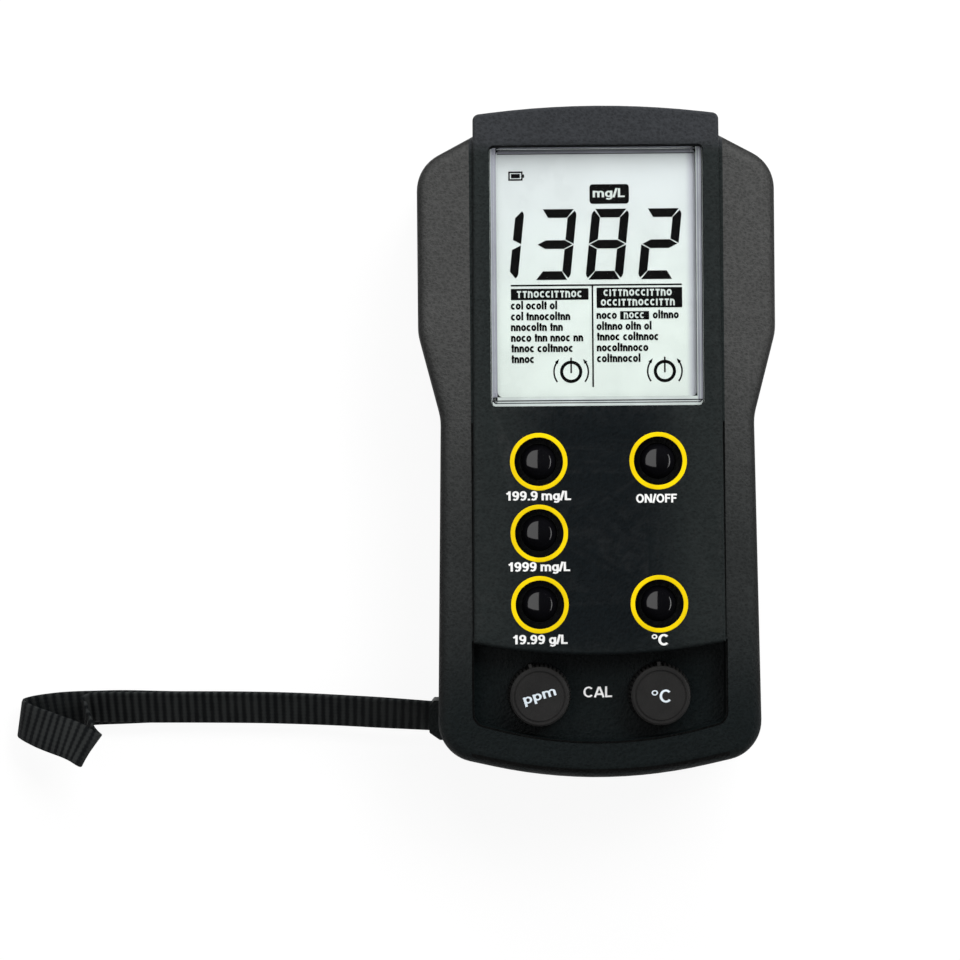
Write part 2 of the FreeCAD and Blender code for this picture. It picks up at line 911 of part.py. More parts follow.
def battery_snap():
    """Snap cap over the battery's terminals."""
    low, high = battery_space()
    start = low.x + battery_gap + battery_length + terminal_height
    middle = low.z + battery_thickness / 2
    body = box(
        (start, start + snap_thickness),
        (battery_middle - snap_width / 2, battery_middle + snap_width / 2),
        (middle - snap_height / 2, middle + snap_height / 2),
    )
    along = [edge for edge in body.Edges if abs(edge.BoundBox.XLength - snap_thickness) < 1e-4]
    return body.makeFillet(snap_rounding, along)


def battery_leads():
    """Two leads from the snap through the notch up to the board."""
    low, high = battery_space()
    middle = low.z + battery_thickness / 2
    face = low.x + battery_gap + battery_length + terminal_height + snap_thickness
    turn = high.z - lead_drop
    leads = []
    for side in (-1, 1):
        y = battery_middle + lead_offset + side * lead_spacing / 2
        rise = face - snap_thickness / 2
        route = [
            V(rise, y, middle + snap_height / 2),
            V(rise, y, turn),
            V(face + lead_reach, y, turn + lead_rise),
            V(face + lead_reach, y, board_height),
        ]
        leads.append(tube_along(route, lead_bend, lead_radius))
    return Part.makeCompound(leads)


def rounded_path(points, radius_at):
    """Straight runs through the points, joined by tangent arcs; also gives the radii."""
    edges = []
    radii = []
    place = points[0]
    for i in range(1, len(points) - 1):
        here = points[i]
        back = (points[i - 1] - here).normalize()
        ahead = (points[i + 1] - here).normalize()
        half_angle = back.getAngle(ahead) / 2
        radius = radius_at(points[i - 1], here, points[i + 1], half_angle)
        reach = radius / math.tan(half_angle)
        middle = here + (back + ahead).normalize() * (radius / math.sin(half_angle) - radius)
        start = here + back * reach
        end = here + ahead * reach
        edges.append(Part.LineSegment(place, start).toShape())
        edges.append(Part.Arc(start, middle, end).toShape())
        radii.append(radius)
        place = end
    edges.append(Part.LineSegment(place, points[-1]).toShape())
    return Part.Wire(edges), radii


def tube_along(points, bend, radius):
    """Round tube along straight runs with equal bends."""
    path, _ = rounded_path(points, lambda before, here, after, half_angle: bend)
    start = points[0]
    direction = points[1] - points[0]
    ring = Part.Wire([Part.makeCircle(radius, start, direction)])
    return path.makePipeShell([ring], True, False)


def battery_door():
    """Door that slides off over the lower end, shaped like the back that it closes."""
    foot = -case_end - edge_rounding
    half = door_width / 2
    low = door_sunk
    high = door_sunk + door_thickness
    plate = box((-half, half), (foot, door_top), (low, high))
    tongue_half = half + door_tongue
    tongue = box((-tongue_half, tongue_half), (foot, door_top), (high - door_tongue_thickness, high))
    back = slab(inset(case_corners(), door_sunk), door_sunk, split_height)
    plate = plate.fuse(tongue).common(rounded(back, door_sunk, edge_rounding))
    ribs = []
    for rib in range(door_rib_count):
        y = door_top - door_rib_margin - rib * door_rib_pitch
        ribs.append(
            box(
                (-door_rib_width / 2, door_rib_width / 2),
                (y - door_rib_pitch / 4, y + door_rib_pitch / 4),
                (low, low + door_rib_depth),
            )
        )
    return whole(plate.cut(ribs))


def probe_socket_shell():
    """Metal body of the probe socket: flange, barrel, bore and key notch."""
    seat_face = case_end - socket_flange
    back = case_end - socket_length
    body = rod_along_y(socket_radius, 0, socket_height, back, seat_face)
    flange = rod_along_y(socket_flange_radius, 0, socket_height, seat_face, case_end)
    body = body.fuse(flange)
    face = case_end - socket_bore_depth
    body = body.cut(rod_along_y(insert_radius, 0, socket_height, back, face))
    body = body.cut(rod_along_y(socket_bore_radius, 0, socket_height, face, case_end))
    key = box(
        (-socket_key_width / 2, socket_key_width / 2),
        (face, case_end),
        (socket_height - socket_bore_radius - socket_key_depth, socket_height),
    )
    return body.cut(key)


def contact_places():
    """Centres of the socket's contacts, on an arc that is open at the key."""
    places = []
    for i in range(contact_count):
        angle = math.radians(90 + (i - (contact_count - 1) / 2) * contact_angle)
        places.append((contact_circle * math.cos(angle), socket_height + contact_circle * math.sin(angle)))
    return places


def probe_socket_insert():
    """Insulating insert with one hole for each contact."""
    face = case_end - socket_bore_depth
    body = rod_along_y(insert_radius - shaft_fit, 0, socket_height, face - insert_length, face)
    holes = []
    for x, z in contact_places():
        holes.append(rod_along_y(contact_radius + shaft_fit, x, z, face - insert_length, face))
    return body.cut(holes)


def probe_socket_contacts():
    """Contacts in the insert, with tails behind it."""
    face = case_end - socket_bore_depth
    pins = []
    for x, z in contact_places():
        tail = face - insert_length - contact_tail
        pins.append(rod_along_y(contact_radius, x, z, tail, face - contact_sunk))
    return Part.makeCompound(pins)


def probe_socket_nut():
    """Ring nut behind the wall, with four notches for its key."""
    seat = case_end - socket_flange - socket_pad
    ring = rod_along_y(socket_nut_radius, 0, socket_height, seat - socket_nut, seat)
    ring = ring.cut(rod_along_y(socket_radius + shaft_fit, 0, socket_height, seat - socket_nut, seat))
    notch = box(
        (-socket_nut_notch / 2, socket_nut_notch / 2),
        (seat - socket_nut, seat - socket_nut / 2),
        (socket_height - 2 * socket_nut_radius, socket_height + 2 * socket_nut_radius),
    )
    cross = notch.copy()
    cross.rotate(V(0, seat, socket_height), Y_AXIS, 90)
    return ring.cut([notch, cross])


def strap_anchor():
    """Clamp block inside the wall that the two ends of the strap are held in."""
    start = anchor_face()
    return box(
        (start, start + anchor_thickness),
        (strap_row() - anchor_width / 2, strap_row() + anchor_width / 2),
        (strap_height - anchor_height / 2, strap_height + anchor_height / 2),
    )


def strap_route():
    """Points that the middle of the strap follows: out of the lug, round the open end and back."""
    start = anchor_face()
    row = strap_row()
    half_gap = strap_layer_gap / 2
    on_table = strap_width / 2 + strap_floor_gap
    away = [
        (-27.0, 2.9, 6.0),
        (-51.0, 3.5, on_table),
        (-71.0, 4.3, on_table),
        (-86.5, 3.8, on_table),
        (-101.8, 2.7, on_table),
        (-101.2, -5.5, on_table),
        (-87.5, -9.9, on_table),
        (-77.5, -2.7, on_table),
        (-63.0, 0.5, on_table),
        (-45.0, 0.2, on_table),
        (-24.0, -0.4, 6.0),
    ]
    route = [V(start + x, row + y, z) for x, y, z in away]
    return [V(start, row + half_gap, strap_height)] + route + [V(start, row - half_gap, strap_height)]


def widest_bend(before, here, after, half_angle):
    """Radius of 0.45 of the shorter run, divided by the tangent of half the turn."""
    run = min(before.distanceToPoint(here), after.distanceToPoint(here))
    return 0.45 * run / math.tan(math.pi / 2 - half_angle)


def wrist_strap():
    """Strap as one flat band on its edge."""
    points = strap_route()
    path, radii = rounded_path(points, widest_bend)
    start = points[0]
    along = (points[1] - start).normalize()
    across = along.cross(Z_AXIS).normalize() * (strap_thickness / 2)
    up = Z_AXIS * (strap_width / 2)
    corners = [start + across + up, start - across + up, start - across - up, start + across - up]
    profile = Part.makePolygon(corners + [corners[0]])
    sweep = Part.BRepOffsetAPI.MakePipeShell(path)
    sweep.setBiNormalMode(Z_AXIS)
    sweep.add(profile)
    sweep.build()
    sweep.makeSolid()
    band = sweep.shape()
    straight = path.Length * strap_width * strap_thickness
    print("strap length", round(path.Length, 1), "bend radii", [round(radius, 1) for radius in radii])
    print("strap volume", round(band.Volume, 1), "section by length", round(straight, 1))
    return band


def save(name, shape):
    """Writes one sub-part."""
    shape.exportStep("parts/" + name + ".step")
    print(name, len(shape.Solids), "solids", round(shape.Volume, 1), "mm3", "valid", shape.isValid())


def main():
    os.makedirs("parts", exist_ok=True)
    save("front_case", front_case())
    save("rear_case", rear_case())
    save("case_seal", seal_ring())
    save("display_window", display_window())
    save("lcd_panel", lcd_panel())
    save("lcd_frame", lcd_frame())
    save("lcd_contact_strips", lcd_contact_strips())
    save("circuit_board", circuit_board())
    save("circuit_chips", circuit_chips())
    save("capacitors", capacitors())
    save("button_switches", button_switches())
    for name, (x, y) in button_places().items():
        save(name, button_cap(x, y))
    for name, (x, y) in knob_places().items():
        save(name + "_knob", knob(x, y, knob_turns[name]))
        save(name + "_shaft", shaft(x, y))
        save(name + "_potentiometer", potentiometer(x, y))
    save("case_screws", case_screws())
    save("board_screws", board_screws())
    save("battery", battery())
    save("battery_snap", battery_snap())
    save("battery_leads", battery_leads())
    save("battery_door", battery_door())
    save("probe_socket_shell", probe_socket_shell())
    save("probe_socket_insert", probe_socket_insert())
    save("probe_socket_contacts", probe_socket_contacts())
    save("probe_socket_nut", probe_socket_nut())
    save("strap_anchor", strap_anchor())
    save("wrist_strap", wrist_strap())


main()
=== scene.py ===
import logging
import math
from dataclasses import dataclass, field
from enum import Enum

import bmesh
import bpy
from mathutils import Matrix, Vector


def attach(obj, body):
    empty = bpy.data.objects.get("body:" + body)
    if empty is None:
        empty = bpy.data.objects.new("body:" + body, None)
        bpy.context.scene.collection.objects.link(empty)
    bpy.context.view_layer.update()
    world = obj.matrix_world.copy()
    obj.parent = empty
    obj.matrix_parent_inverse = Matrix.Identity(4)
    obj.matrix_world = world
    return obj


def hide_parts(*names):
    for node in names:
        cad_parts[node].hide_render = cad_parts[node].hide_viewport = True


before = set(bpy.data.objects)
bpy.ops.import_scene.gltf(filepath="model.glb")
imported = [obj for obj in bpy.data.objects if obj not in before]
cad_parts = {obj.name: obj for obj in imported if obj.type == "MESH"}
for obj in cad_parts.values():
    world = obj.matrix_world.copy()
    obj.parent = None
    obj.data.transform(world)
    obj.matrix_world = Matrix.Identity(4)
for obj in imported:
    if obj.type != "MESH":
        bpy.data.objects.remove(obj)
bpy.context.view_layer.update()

MM = 0.001
STROKE_LIFT = 0.004  # millimetres from one pen stroke to the next, so that none lies in another's plane
STROKE_LEVELS = 6  # strokes of a word until their levels start again
PRINT_LIFT = 0.02  # millimetres from a surface to the print on it
ARC_SPAN = 4  # degrees of each span of a ring
ARC_PROFILE = ((0.0, 0), (0.15, 1), (0.85, 1), (1.0, 0))  # share of a ring's width and which of its levels
log = logging.getLogger("meter")

Colour = tuple[float, float, float]
Point = tuple[float, float]
Place = tuple[float, float, float]
Line = list[Point]
Strip = tuple[float, float, float, float, float]
Shape = bmesh.types.BMesh
Node = bpy.types.Node
Socket = bpy.types.NodeSocket
Material = bpy.types.Material


class Body(Enum):
    """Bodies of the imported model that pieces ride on."""

    CASE = "case"
    LEFT_KNOB = "tds_knob"
    RIGHT_KNOB = "temperature_knob"


class Slot(Enum):
    """Material slots of the record that new pieces take."""

    CASE = "case_plastic"
    DISPLAY = "display_glass"
    KNOB = "knob_black"
    STRAP = "strap_webbing"


class Canvas:
    """Places and joins the nodes of one node tree."""

    def __init__(self, tree: bpy.types.NodeTree) -> None:
        """Starts on a tree."""
        self.tree = tree

    def feed(self, socket: Socket, value: object) -> None:
        """Links a socket or sets its value.

        Args:
            socket: The input that is fed.
            value: Another node's output, a number, a colour or a vector.
        """
        if isinstance(value, Socket):
            self.tree.links.new(value, socket)
        elif socket.type == "RGBA" and len(value) == 3:
            socket.default_value = (*value, 1.0)
        else:
            socket.default_value = value

    def node(self, kind: str, settings: dict | None = None, **inputs: object) -> Node:
        """Adds one node.

        Args:
            kind: The node's type name without its ShaderNode prefix.
            settings: Values of the node's own settings.
            **inputs: Values of its inputs, with _ for each space in their names.

        Returns:
            The new node.
        """
        made = self.tree.nodes.new("ShaderNode" + kind)
        for name, value in (settings or {}).items():
            setattr(made, name, value)
        for name, value in inputs.items():
            self.feed(made.inputs[name.replace("_", " ")], value)
        return made

    def math(self, operation: str, *values: object, clamp: bool = False) -> Socket:
        """Adds a Math node.

        Args:
            operation: The name of the operation.
            *values: Up to three values, as the operation needs.
            clamp: Whether the result is kept between 0 and 1.

        Returns:
            The result.
        """
        made = self.node("Math", {"operation": operation, "use_clamp": clamp})
        for socket, value in zip(made.inputs, (*values, 0.0, 0.0)):
            self.feed(socket, value)
        return made.outputs[0]

    def plus(self, first: object, second: object, clamp: bool = False) -> Socket:
        """Adds two values."""
        return self.math("ADD", first, second, clamp=clamp)

    def times(self, product: object, *factors: object) -> Socket:
        """Multiplies values."""
        for factor in factors:
            product = self.math("MULTIPLY", product, factor)
        return product

    def wave(self, value: object, pitch: float) -> Socket:
        """Sine wave of a pitch in metres."""
        return self.math("SINE", self.times(value, 2 * math.pi / pitch))

    def blend(self, share: object, first: object, second: object, kind: str = "MIX") -> Socket:
        """Mixes two colours.

        Args:
            share: Share of the second colour.
            first: First colour.
            second: Second colour.
            kind: How they are mixed.

        Returns:
            The mixed colour.
        """
        made = self.node("Mix", {"data_type": "RGBA", "blend_type": kind})
        for index, part in ((0, share), (6, first), (7, second)):
            self.feed(made.inputs[index], part)
        return made.outputs[2]

    def shaded(self, colour: object, shade: Socket) -> Socket:
        """Multiplies a colour by a number."""
        grey = self.node("CombineColor", Red=shade, Green=shade, Blue=shade).outputs[0]
        return self.blend(1.0, colour, grey, "MULTIPLY")

    def mixed(self, share: Socket, first: Node, second: Node) -> Socket:
        """Mixes two shaders.

        Args:
            share: Share of the second shader.
            first: First shader's node.
            second: Second shader's node.

        Returns:
            The mixed shader.
        """
        made = self.node("MixShader")
        for socket, part in zip(made.inputs, (share, first.outputs[0], second.outputs[0])):
            self.feed(socket, part)
        return made.outputs[0]

    def ramp(self, value: object, low: float, high: float, start: float = 0.0, end: float = 1.0) -> Socket:
        """Maps a value smoothly from one range to another.

        Args:
            value: The value.
            low: Value that gives start.
            high: Value that gives end.
            start: Result at low.
            end: Result at high.

        Returns:
            The mapped value.
        """
        made = self.node("MapRange", {"interpolation_type": "SMOOTHSTEP"})
        for socket, part in zip(made.inputs, (value, low, high, start, end)):
            self.feed(socket, part)
        return made.outputs[0]

    def noise(self, vector: object, scale: object, detail: float = 3.0, roughness: float = 0.5) -> Socket:
        """Cloudy noise from 0 to 1: where it is read, how fine it is, its octaves and their strength."""
        made = self.node("TexNoise", Vector=vector, Scale=scale, Detail=detail, Roughness=roughness)
        return made.outputs[0]

    def object_place(self) -> Socket:
        """Place in the object's own frame, in metres."""
        return self.node("TexCoord").outputs["Object"]


@dataclass(frozen=True)
class Effect:
    """A surface effect that several materials share, kept as one node group.

    Each input has its first value, or None where it is a place in space.
    """

    name: str
    inputs: tuple[tuple[str, float | None], ...]
    outputs: tuple[str, ...]

    def start(self) -> tuple[Canvas, Node, Node]:
        """Makes the empty group with its sockets.

        Returns:
            The canvas, the group's input node and its output node.
        """
        tree = bpy.data.node_groups.new(self.name, "ShaderNodeTree")
        for name, value in self.inputs:
            kind = "NodeSocketVector" if value is None else "NodeSocketFloat"
            socket = tree.interface.new_socket(name=name, in_out="INPUT", socket_type=kind)
            if value is not None:
                socket.default_value = value
        for name in self.outputs:
            tree.interface.new_socket(name=name, in_out="OUTPUT", socket_type="NodeSocketFloat")
        return Canvas(tree), tree.nodes.new("NodeGroupInput"), tree.nodes.new("NodeGroupOutput")

    def place(self, canvas: Canvas, **inputs: object) -> Node:
        """Puts the group into a material.

        Args:
            canvas: The material's canvas.
            **inputs: Values of the group's inputs.

        Returns:
            The group's node.
        """
        made = canvas.node("Group", {"node_tree": bpy.data.node_groups[self.name]})
        for name, value in inputs.items():
            canvas.feed(made.inputs[name], value)
        return made


GRAIN = Effect("MouldGrain", (("Place", None), ("Pitch", 900.0)), ("Height", "Mottle"))
WEAR = Effect("EdgeWear", (("Place", None), ("Amount", 0.3)), ("Mask",))
DUST = Effect("DustFilm", (("Place", None), ("Amount", 0.1)), ("Mask",))
BRUSHED = Effect("BrushedLines", (("Place", None), ("Pitch", 3000.0)), ("Height",))
WEAVE = Effect("WebbingWeave", (("Along", 0.0), ("Across", 0.0)), ("Height", "Shade"))


@dataclass
class EffectShelf:
    """Builds the shared effects once, before any material places them; pitches are in metres."""

    thread_pitch: float = 0.00046
    row_pitch: float = 0.00062
    rib_pitch: float = 0.00185

    def build(self) -> None:
        """Builds all groups."""
        self.mould_grain()
        self.edge_wear()
        self.dust_film()
        self.brushed_lines()
        self.webbing_weave()
        log.info("effects: %d shared groups", len(bpy.data.node_groups))

    def mould_grain(self) -> None:
        """Fine leather-like grain of moulded plastic, with a slow mottle."""
        canvas, given, result = GRAIN.start()
        place, pitch = given.outputs["Place"], given.outputs["Pitch"]
        cells = canvas.node("TexVoronoi", {"feature": "F1"}, Vector=place, Scale=pitch)
        fine = canvas.noise(place, canvas.times(pitch, 2.3), 2.0)
        coarse = canvas.times(cells.outputs["Distance"], 0.7)
        canvas.feed(result.inputs["Height"], canvas.plus(coarse, fine))
        slow = canvas.noise(place, canvas.times(pitch, 0.08), 4.0, 0.6)
        canvas.feed(result.inputs["Mottle"], canvas.ramp(slow, 0.3, 0.7))

    def edge_wear(self) -> None:
        """Mask of the outer edges that hands rub."""
        canvas, given, result = WEAR.start()
        edge = canvas.ramp(canvas.node("NewGeometry").outputs["Pointiness"], 0.52, 0.62)
        broken = canvas.ramp(canvas.noise(given.outputs["Place"], 420.0, 5.0, 0.7), 0.35, 0.7)
        mask = canvas.math("MULTIPLY", canvas.times(edge, broken), given.outputs["Amount"], clamp=True)
        canvas.feed(result.inputs["Mask"], mask)

    def dust_film(self) -> None:
        """Mask of a faint film on faces that look up."""
        canvas, given, result = DUST.start()
        normal = canvas.node("NewGeometry").outputs["Normal"]
        up = canvas.node("SeparateXYZ", Vector=normal).outputs[2]
        clouds = canvas.ramp(canvas.noise(given.outputs["Place"], 60.0, 6.0, 0.65), 0.35, 0.8)
        specks = canvas.ramp(canvas.noise(given.outputs["Place"], 2600.0, 1.0), 0.66, 0.8)
        film = canvas.times(canvas.plus(canvas.times(clouds, 0.6), specks), canvas.ramp(up, 0.2, 0.9))
        mask = canvas.math("MULTIPLY", film, given.outputs["Amount"], clamp=True)
        canvas.feed(result.inputs["Mask"], mask)

    def brushed_lines(self) -> None:
        """Fine lines of turned or brushed metal."""
        canvas, given, result = BRUSHED.start()
        stretched = canvas.node("Mapping", Vector=given.outputs["Place"], Scale=(1.0, 0.04, 1.0))
        lines = canvas.noise(stretched.outputs[0], given.outputs["Pitch"], 2.0, 0.7)
        canvas.feed(result.inputs["Height"], lines)

    def webbing_weave(self) -> None:
        """Threads of ribbed webbing, read along and across the band in metres; its Shade also holds painted
        light on the ribs and painted shade between them.
        """
        canvas, given, result = WEAVE.start()
        along, across = given.outputs["Along"], given.outputs["Across"]
        row = canvas.wave(across, self.row_pitch)
        crossed = canvas.times(canvas.wave(along, self.thread_pitch), row)
        rib = canvas.wave(along, self.rib_pitch)
        place = canvas.node("CombineXYZ", X=along, Y=across).outputs[0]
        fuzz = canvas.noise(place, 5200.0, 3.0, 0.7)
        canvas.feed(result.inputs["Height"], canvas.plus(canvas.times(crossed, 0.35), fuzz))
        slow = canvas.ramp(canvas.noise(place, 260.0, 4.0, 0.6), 0.3, 0.7, -0.2, 0.2)
        shade = canvas.plus(canvas.times(crossed, 0.16), slow)
        # painted light and shade: the ribs lighter, the grooves between them darker
        shade = canvas.math("SUBTRACT", shade, canvas.times(rib, 0.62))
        canvas.feed(result.inputs["Shade"], canvas.plus(shade, canvas.times(row, 0.12)))


@dataclass(frozen=True)
class Finish:
    """A moulded, turned or printed finish."""

    name: str
    colour: Colour
    roughness: float
    specular: float = 0.4
    metallic: float = 0.0
    coat: float = 0.0
    coat_roughness: float = 0.08
    pitch: float = 900.0
    relief: float = 0.06
    depth: float = 0.0002
    variation: float = 0.2
    rough_range: Point = (0.88, 1.1)
    wear: float = 0.0
    worn: Colour = (0.12, 0.12, 0.12)
    worn_polish: float = 0.15
    dust: float = 0.0
    dusty: Colour = (0.30, 0.29, 0.27)
    dust_roughness: float = 0.3
    speckle: float = 0.0
    brushed: bool = False

    def start(self) -> tuple[Canvas, Material, Node]:
        """Makes the bare material.

        Returns:
            Its canvas, the material and its Principled node.
        """
        material = bpy.data.materials.new(self.name)
        material.use_nodes = True
        shader = material.node_tree.nodes["Principled BSDF"]
        shader.inputs["Specular IOR Level"].default_value = self.specular
        shader.inputs["Metallic"].default_value = self.metallic
        shader.inputs["Coat Weight"].default_value = self.coat
        shader.inputs["Coat Roughness"].default_value = self.coat_roughness
        return Canvas(material.node_tree), material, shader

    def colour_at(self, canvas: Canvas, place: Socket) -> object:
        """Colour before mottle, wear and dust; finishes with more than one colour replace this."""
        return self.colour

    def build(self) -> Material:
        """Builds the material.

        Returns:
            The material.
        """
        canvas, material, shader = self.start()
        place = canvas.object_place()
        height, mottle = GRAIN.place(canvas, Place=place, Pitch=self.pitch).outputs
        shade = canvas.ramp(mottle, 0.0, 1.0, 1.0 - self.variation, 1.0 + self.variation)
        if self.speckle > 0:
            bright = canvas.ramp(height, 0.45, 1.15, 1.0 - self.speckle, 1.0 + self.speckle)
            shade = canvas.times(shade, bright)
        colour = canvas.shaded(self.colour_at(canvas, place), shade)
        rough = canvas.ramp(mottle, 0.0, 1.0, *(self.roughness * share for share in self.rough_range))
        if self.wear > 0:
            mask = WEAR.place(canvas, Place=place, Amount=self.wear).outputs["Mask"]
            colour = canvas.blend(mask, colour, self.worn)
            rough = canvas.math("SUBTRACT", rough, canvas.times(mask, self.worn_polish), clamp=True)
        if self.dust > 0:
            mask = DUST.place(canvas, Place=place, Amount=self.dust).outputs["Mask"]
            colour = canvas.blend(mask, colour, self.dusty)
            rough = canvas.plus(rough, canvas.times(mask, self.dust_roughness), clamp=True)
        if self.brushed:
            height = BRUSHED.place(canvas, Place=place).outputs["Height"]
        self.cover(canvas, shader, colour, rough, height)
        return material

    def cover(self, canvas: Canvas, shader: Node, colour: Socket, rough: Socket, height: Socket) -> None:
        """Gives the shader what changes over the surface.

        Args:
            canvas: The material's canvas.
            shader: Its Principled node.
            colour: Base colour.
            rough: Roughness.
            height: Height of the relief.
        """
        bump = canvas.node("Bump", Height=height, Strength=self.relief, Distance=self.depth)
        for name, value in (("Base Color", colour), ("Roughness", rough), ("Normal", bump.outputs[0])):
            canvas.feed(shader.inputs[name], value)


@dataclass(frozen=True)
class CaseFinish(Finish):
    """Case plastic: grained shoulders and a raised panel painted blacker, with painted light and shade in its
    colour; places are in metres.
    """

    # Painted reflection: the panel painted dark in its middle as a dark reflection, and lighter towards its
    # sides as painted sheen.
    panel: Colour = (0.0028, 0.0048, 0.0060)
    panel_side_painted_sheen: Colour = (0.0125, 0.0158, 0.0158)
    # Painted light falloff from the top end: the raised top end painted lighter, the middle and the bottom end
    # of the case painted darker.
    forehead_painted_light: Colour = (0.028, 0.030, 0.0335)
    grip_painted_shade: Colour = (0.020, 0.022, 0.022)
    foot_painted_shade: Colour = (0.0048, 0.0072, 0.0076)
    # Painted shade: near black for the low step round the knob tray and the insides of the button wells.
    gap: Colour = (0.0012, 0.0014, 0.0014)
    # painted shade: share of their colour that the rounded edges keep
    shade: float = 0.30
    foot_end: Point = (-0.064, -0.030)
    grip_end: Point = (-0.030, 0.030)
    side_start: Point = (0.008, 0.024)
    tray_start: Point = (-0.040, -0.052)
    forehead_start: Point = (0.064, 0.068)
    face: Point = (0.0350, 0.0353)
    bank_painted_shade: Point = (0.0334, 0.0348)
    foot_bank: Point = (-0.050, -0.066)
    panel_half: float = 0.0283
    panel_floor: float = 0.0262
    panel_end: float = 0.069
    rebate: Point = (0.0344, 0.00025)
    rebate_half: float = 0.0288
    well_top: float = 0.0352
    wells: Point = (-0.0195, 0.0240)

    def colour_at(self, canvas: Canvas, place: Socket) -> object:
        """Panel, raised top end and shoulders told apart by their height and place, each with painted light
        and shade.

        Args:
            canvas: The material's canvas.
            place: Place in the object's frame.

        Returns:
            A colour socket.
        """
        across, along, up = canvas.node("SeparateXYZ", Vector=place).outputs
        side = canvas.math("ABSOLUTE", across)
        # painted light falloff: the shoulders darker towards the bottom end
        colour = canvas.blend(canvas.ramp(along, *self.foot_end), self.foot_painted_shade, self.grip_painted_shade)
        colour = canvas.blend(canvas.ramp(along, *self.grip_end), colour, self.colour)
        # painted shade on the rounded edges below the top faces, left out at the bottom end
        low = canvas.ramp(up, *self.bank_painted_shade, self.shade, 1.0)
        colour = canvas.shaded(colour, canvas.math("MAXIMUM", low, canvas.ramp(along, *self.foot_bank)))
        # painted dark reflection in the panel's middle, painted sheen towards its sides
        inner = canvas.blend(canvas.ramp(side, *self.side_start), self.panel, self.panel_side_painted_sheen)
        # the knob tray takes the bottom end's painted shade
        inner = canvas.blend(canvas.ramp(along, *self.tray_start), inner, self.foot_painted_shade)
        inner = canvas.blend(canvas.ramp(along, *self.forehead_start), inner, self.forehead_painted_light)
        sunk = canvas.times(
            canvas.math("LESS_THAN", side, self.panel_half),
            canvas.math("GREATER_THAN", up, self.panel_floor),
            canvas.math("LESS_THAN", along, self.panel_end),
        )
        colour = canvas.blend(canvas.math("MAXIMUM", canvas.ramp(up, *self.face), sunk), colour, inner)
        # painted shade on the low step round the knob tray and in the button wells
        rebate = canvas.times(
            canvas.math("COMPARE", up, *self.rebate),
            canvas.math("LESS_THAN", side, self.rebate_half),
            canvas.math("LESS_THAN", along, self.tray_start[0]),
        )
        below = canvas.math("LESS_THAN", up, self.well_top)
        well = canvas.times(sunk, below, canvas.math("COMPARE", along, *self.wells))
        return canvas.blend(canvas.math("MAXIMUM", rebate, well), colour, self.gap)


@dataclass(frozen=True)
class BoardFinish(Finish):
    """Circuit board with plain tracks under its solder mask."""

    track: Colour = (0.02, 0.11, 0.05)

    def colour_at(self, canvas: Canvas, place: Socket) -> object:
        """Tracks as slightly darker bands."""
        bricks = canvas.node("TexBrick", {"offset": 0.37}, Vector=place, Scale=260.0, Mortar_Size=0.03)
        return canvas.blend(canvas.times(bricks.outputs["Fac"], 0.8), self.colour, self.track)


@dataclass(frozen=True)
class StripedFinish(Finish):
    """Rubber strip with fine dark and pale stripes across it."""

    second: Colour = (0.02, 0.02, 0.02)
    stripe: float = 0.0005

    def colour_at(self, canvas: Canvas, place: Socket) -> object:
        """Stripes along X."""
        stripes = canvas.wave(canvas.node("SeparateXYZ", Vector=place).outputs[0], self.stripe)
        return canvas.blend(canvas.ramp(stripes, -0.3, 0.3), self.colour, self.second)


@dataclass(frozen=True)
class DisplayFinish(Finish):
    """Pale display, a little greyer towards its top, with painted shade along its right edge; places are in
    metres.
    """

    upper: Colour = (0.70, 0.745, 0.755)
    # lilac grey of the painted shade along the right edge
    edge: Colour = (0.50, 0.51, 0.58)
    rise: Point = (0.020, 0.066)
    edge_start: Point = (0.0198, 0.0216)

    def colour_at(self, canvas: Canvas, place: Socket) -> object:
        """Upper end greyer, lower end greener, and painted shade along the right edge.

        Args:
            canvas: The material's canvas.
            place: Place in the object's frame.

        Returns:
            A colour socket.
        """
        across, along, _ = canvas.node("SeparateXYZ", Vector=place).outputs
        colour = canvas.blend(canvas.ramp(along, *self.rise), self.colour, self.upper)
        # painted shade along the right edge
        return canvas.blend(canvas.times(canvas.ramp(across, *self.edge_start), 0.8), colour, self.edge)


@dataclass(frozen=True)
class WindowFinish(Finish):
    """Clear polished plastic that light shines through without a shadow."""

    clear: Colour = (0.97, 0.985, 0.98)
    passing: Colour = (0.97, 0.97, 0.97)

    def build(self) -> Material:
        """Builds the material.

        Returns:
            The material.
        """
        canvas, material, shader = self.start()
        mottle = GRAIN.place(canvas, Place=canvas.object_place(), Pitch=self.pitch).outputs["Mottle"]
        shader.inputs["Transmission Weight"].default_value = 1.0
        shader.inputs["IOR"].default_value = 1.49
        canvas.feed(shader.inputs["Base Color"], canvas.blend(mottle, self.colour, self.clear))
        canvas.feed(shader.inputs["Roughness"], canvas.ramp(mottle, 0.0, 1.0, 0.0, self.roughness))
        path = canvas.node("LightPath").outputs
        through = canvas.math("MAXIMUM", path["Is Shadow Ray"], path["Is Diffuse Ray"])
        surface = canvas.mixed(through, shader, canvas.node("BsdfTransparent", Color=self.passing))
        canvas.feed(material.node_tree.nodes["Material Output"].inputs["Surface"], surface)
        return material


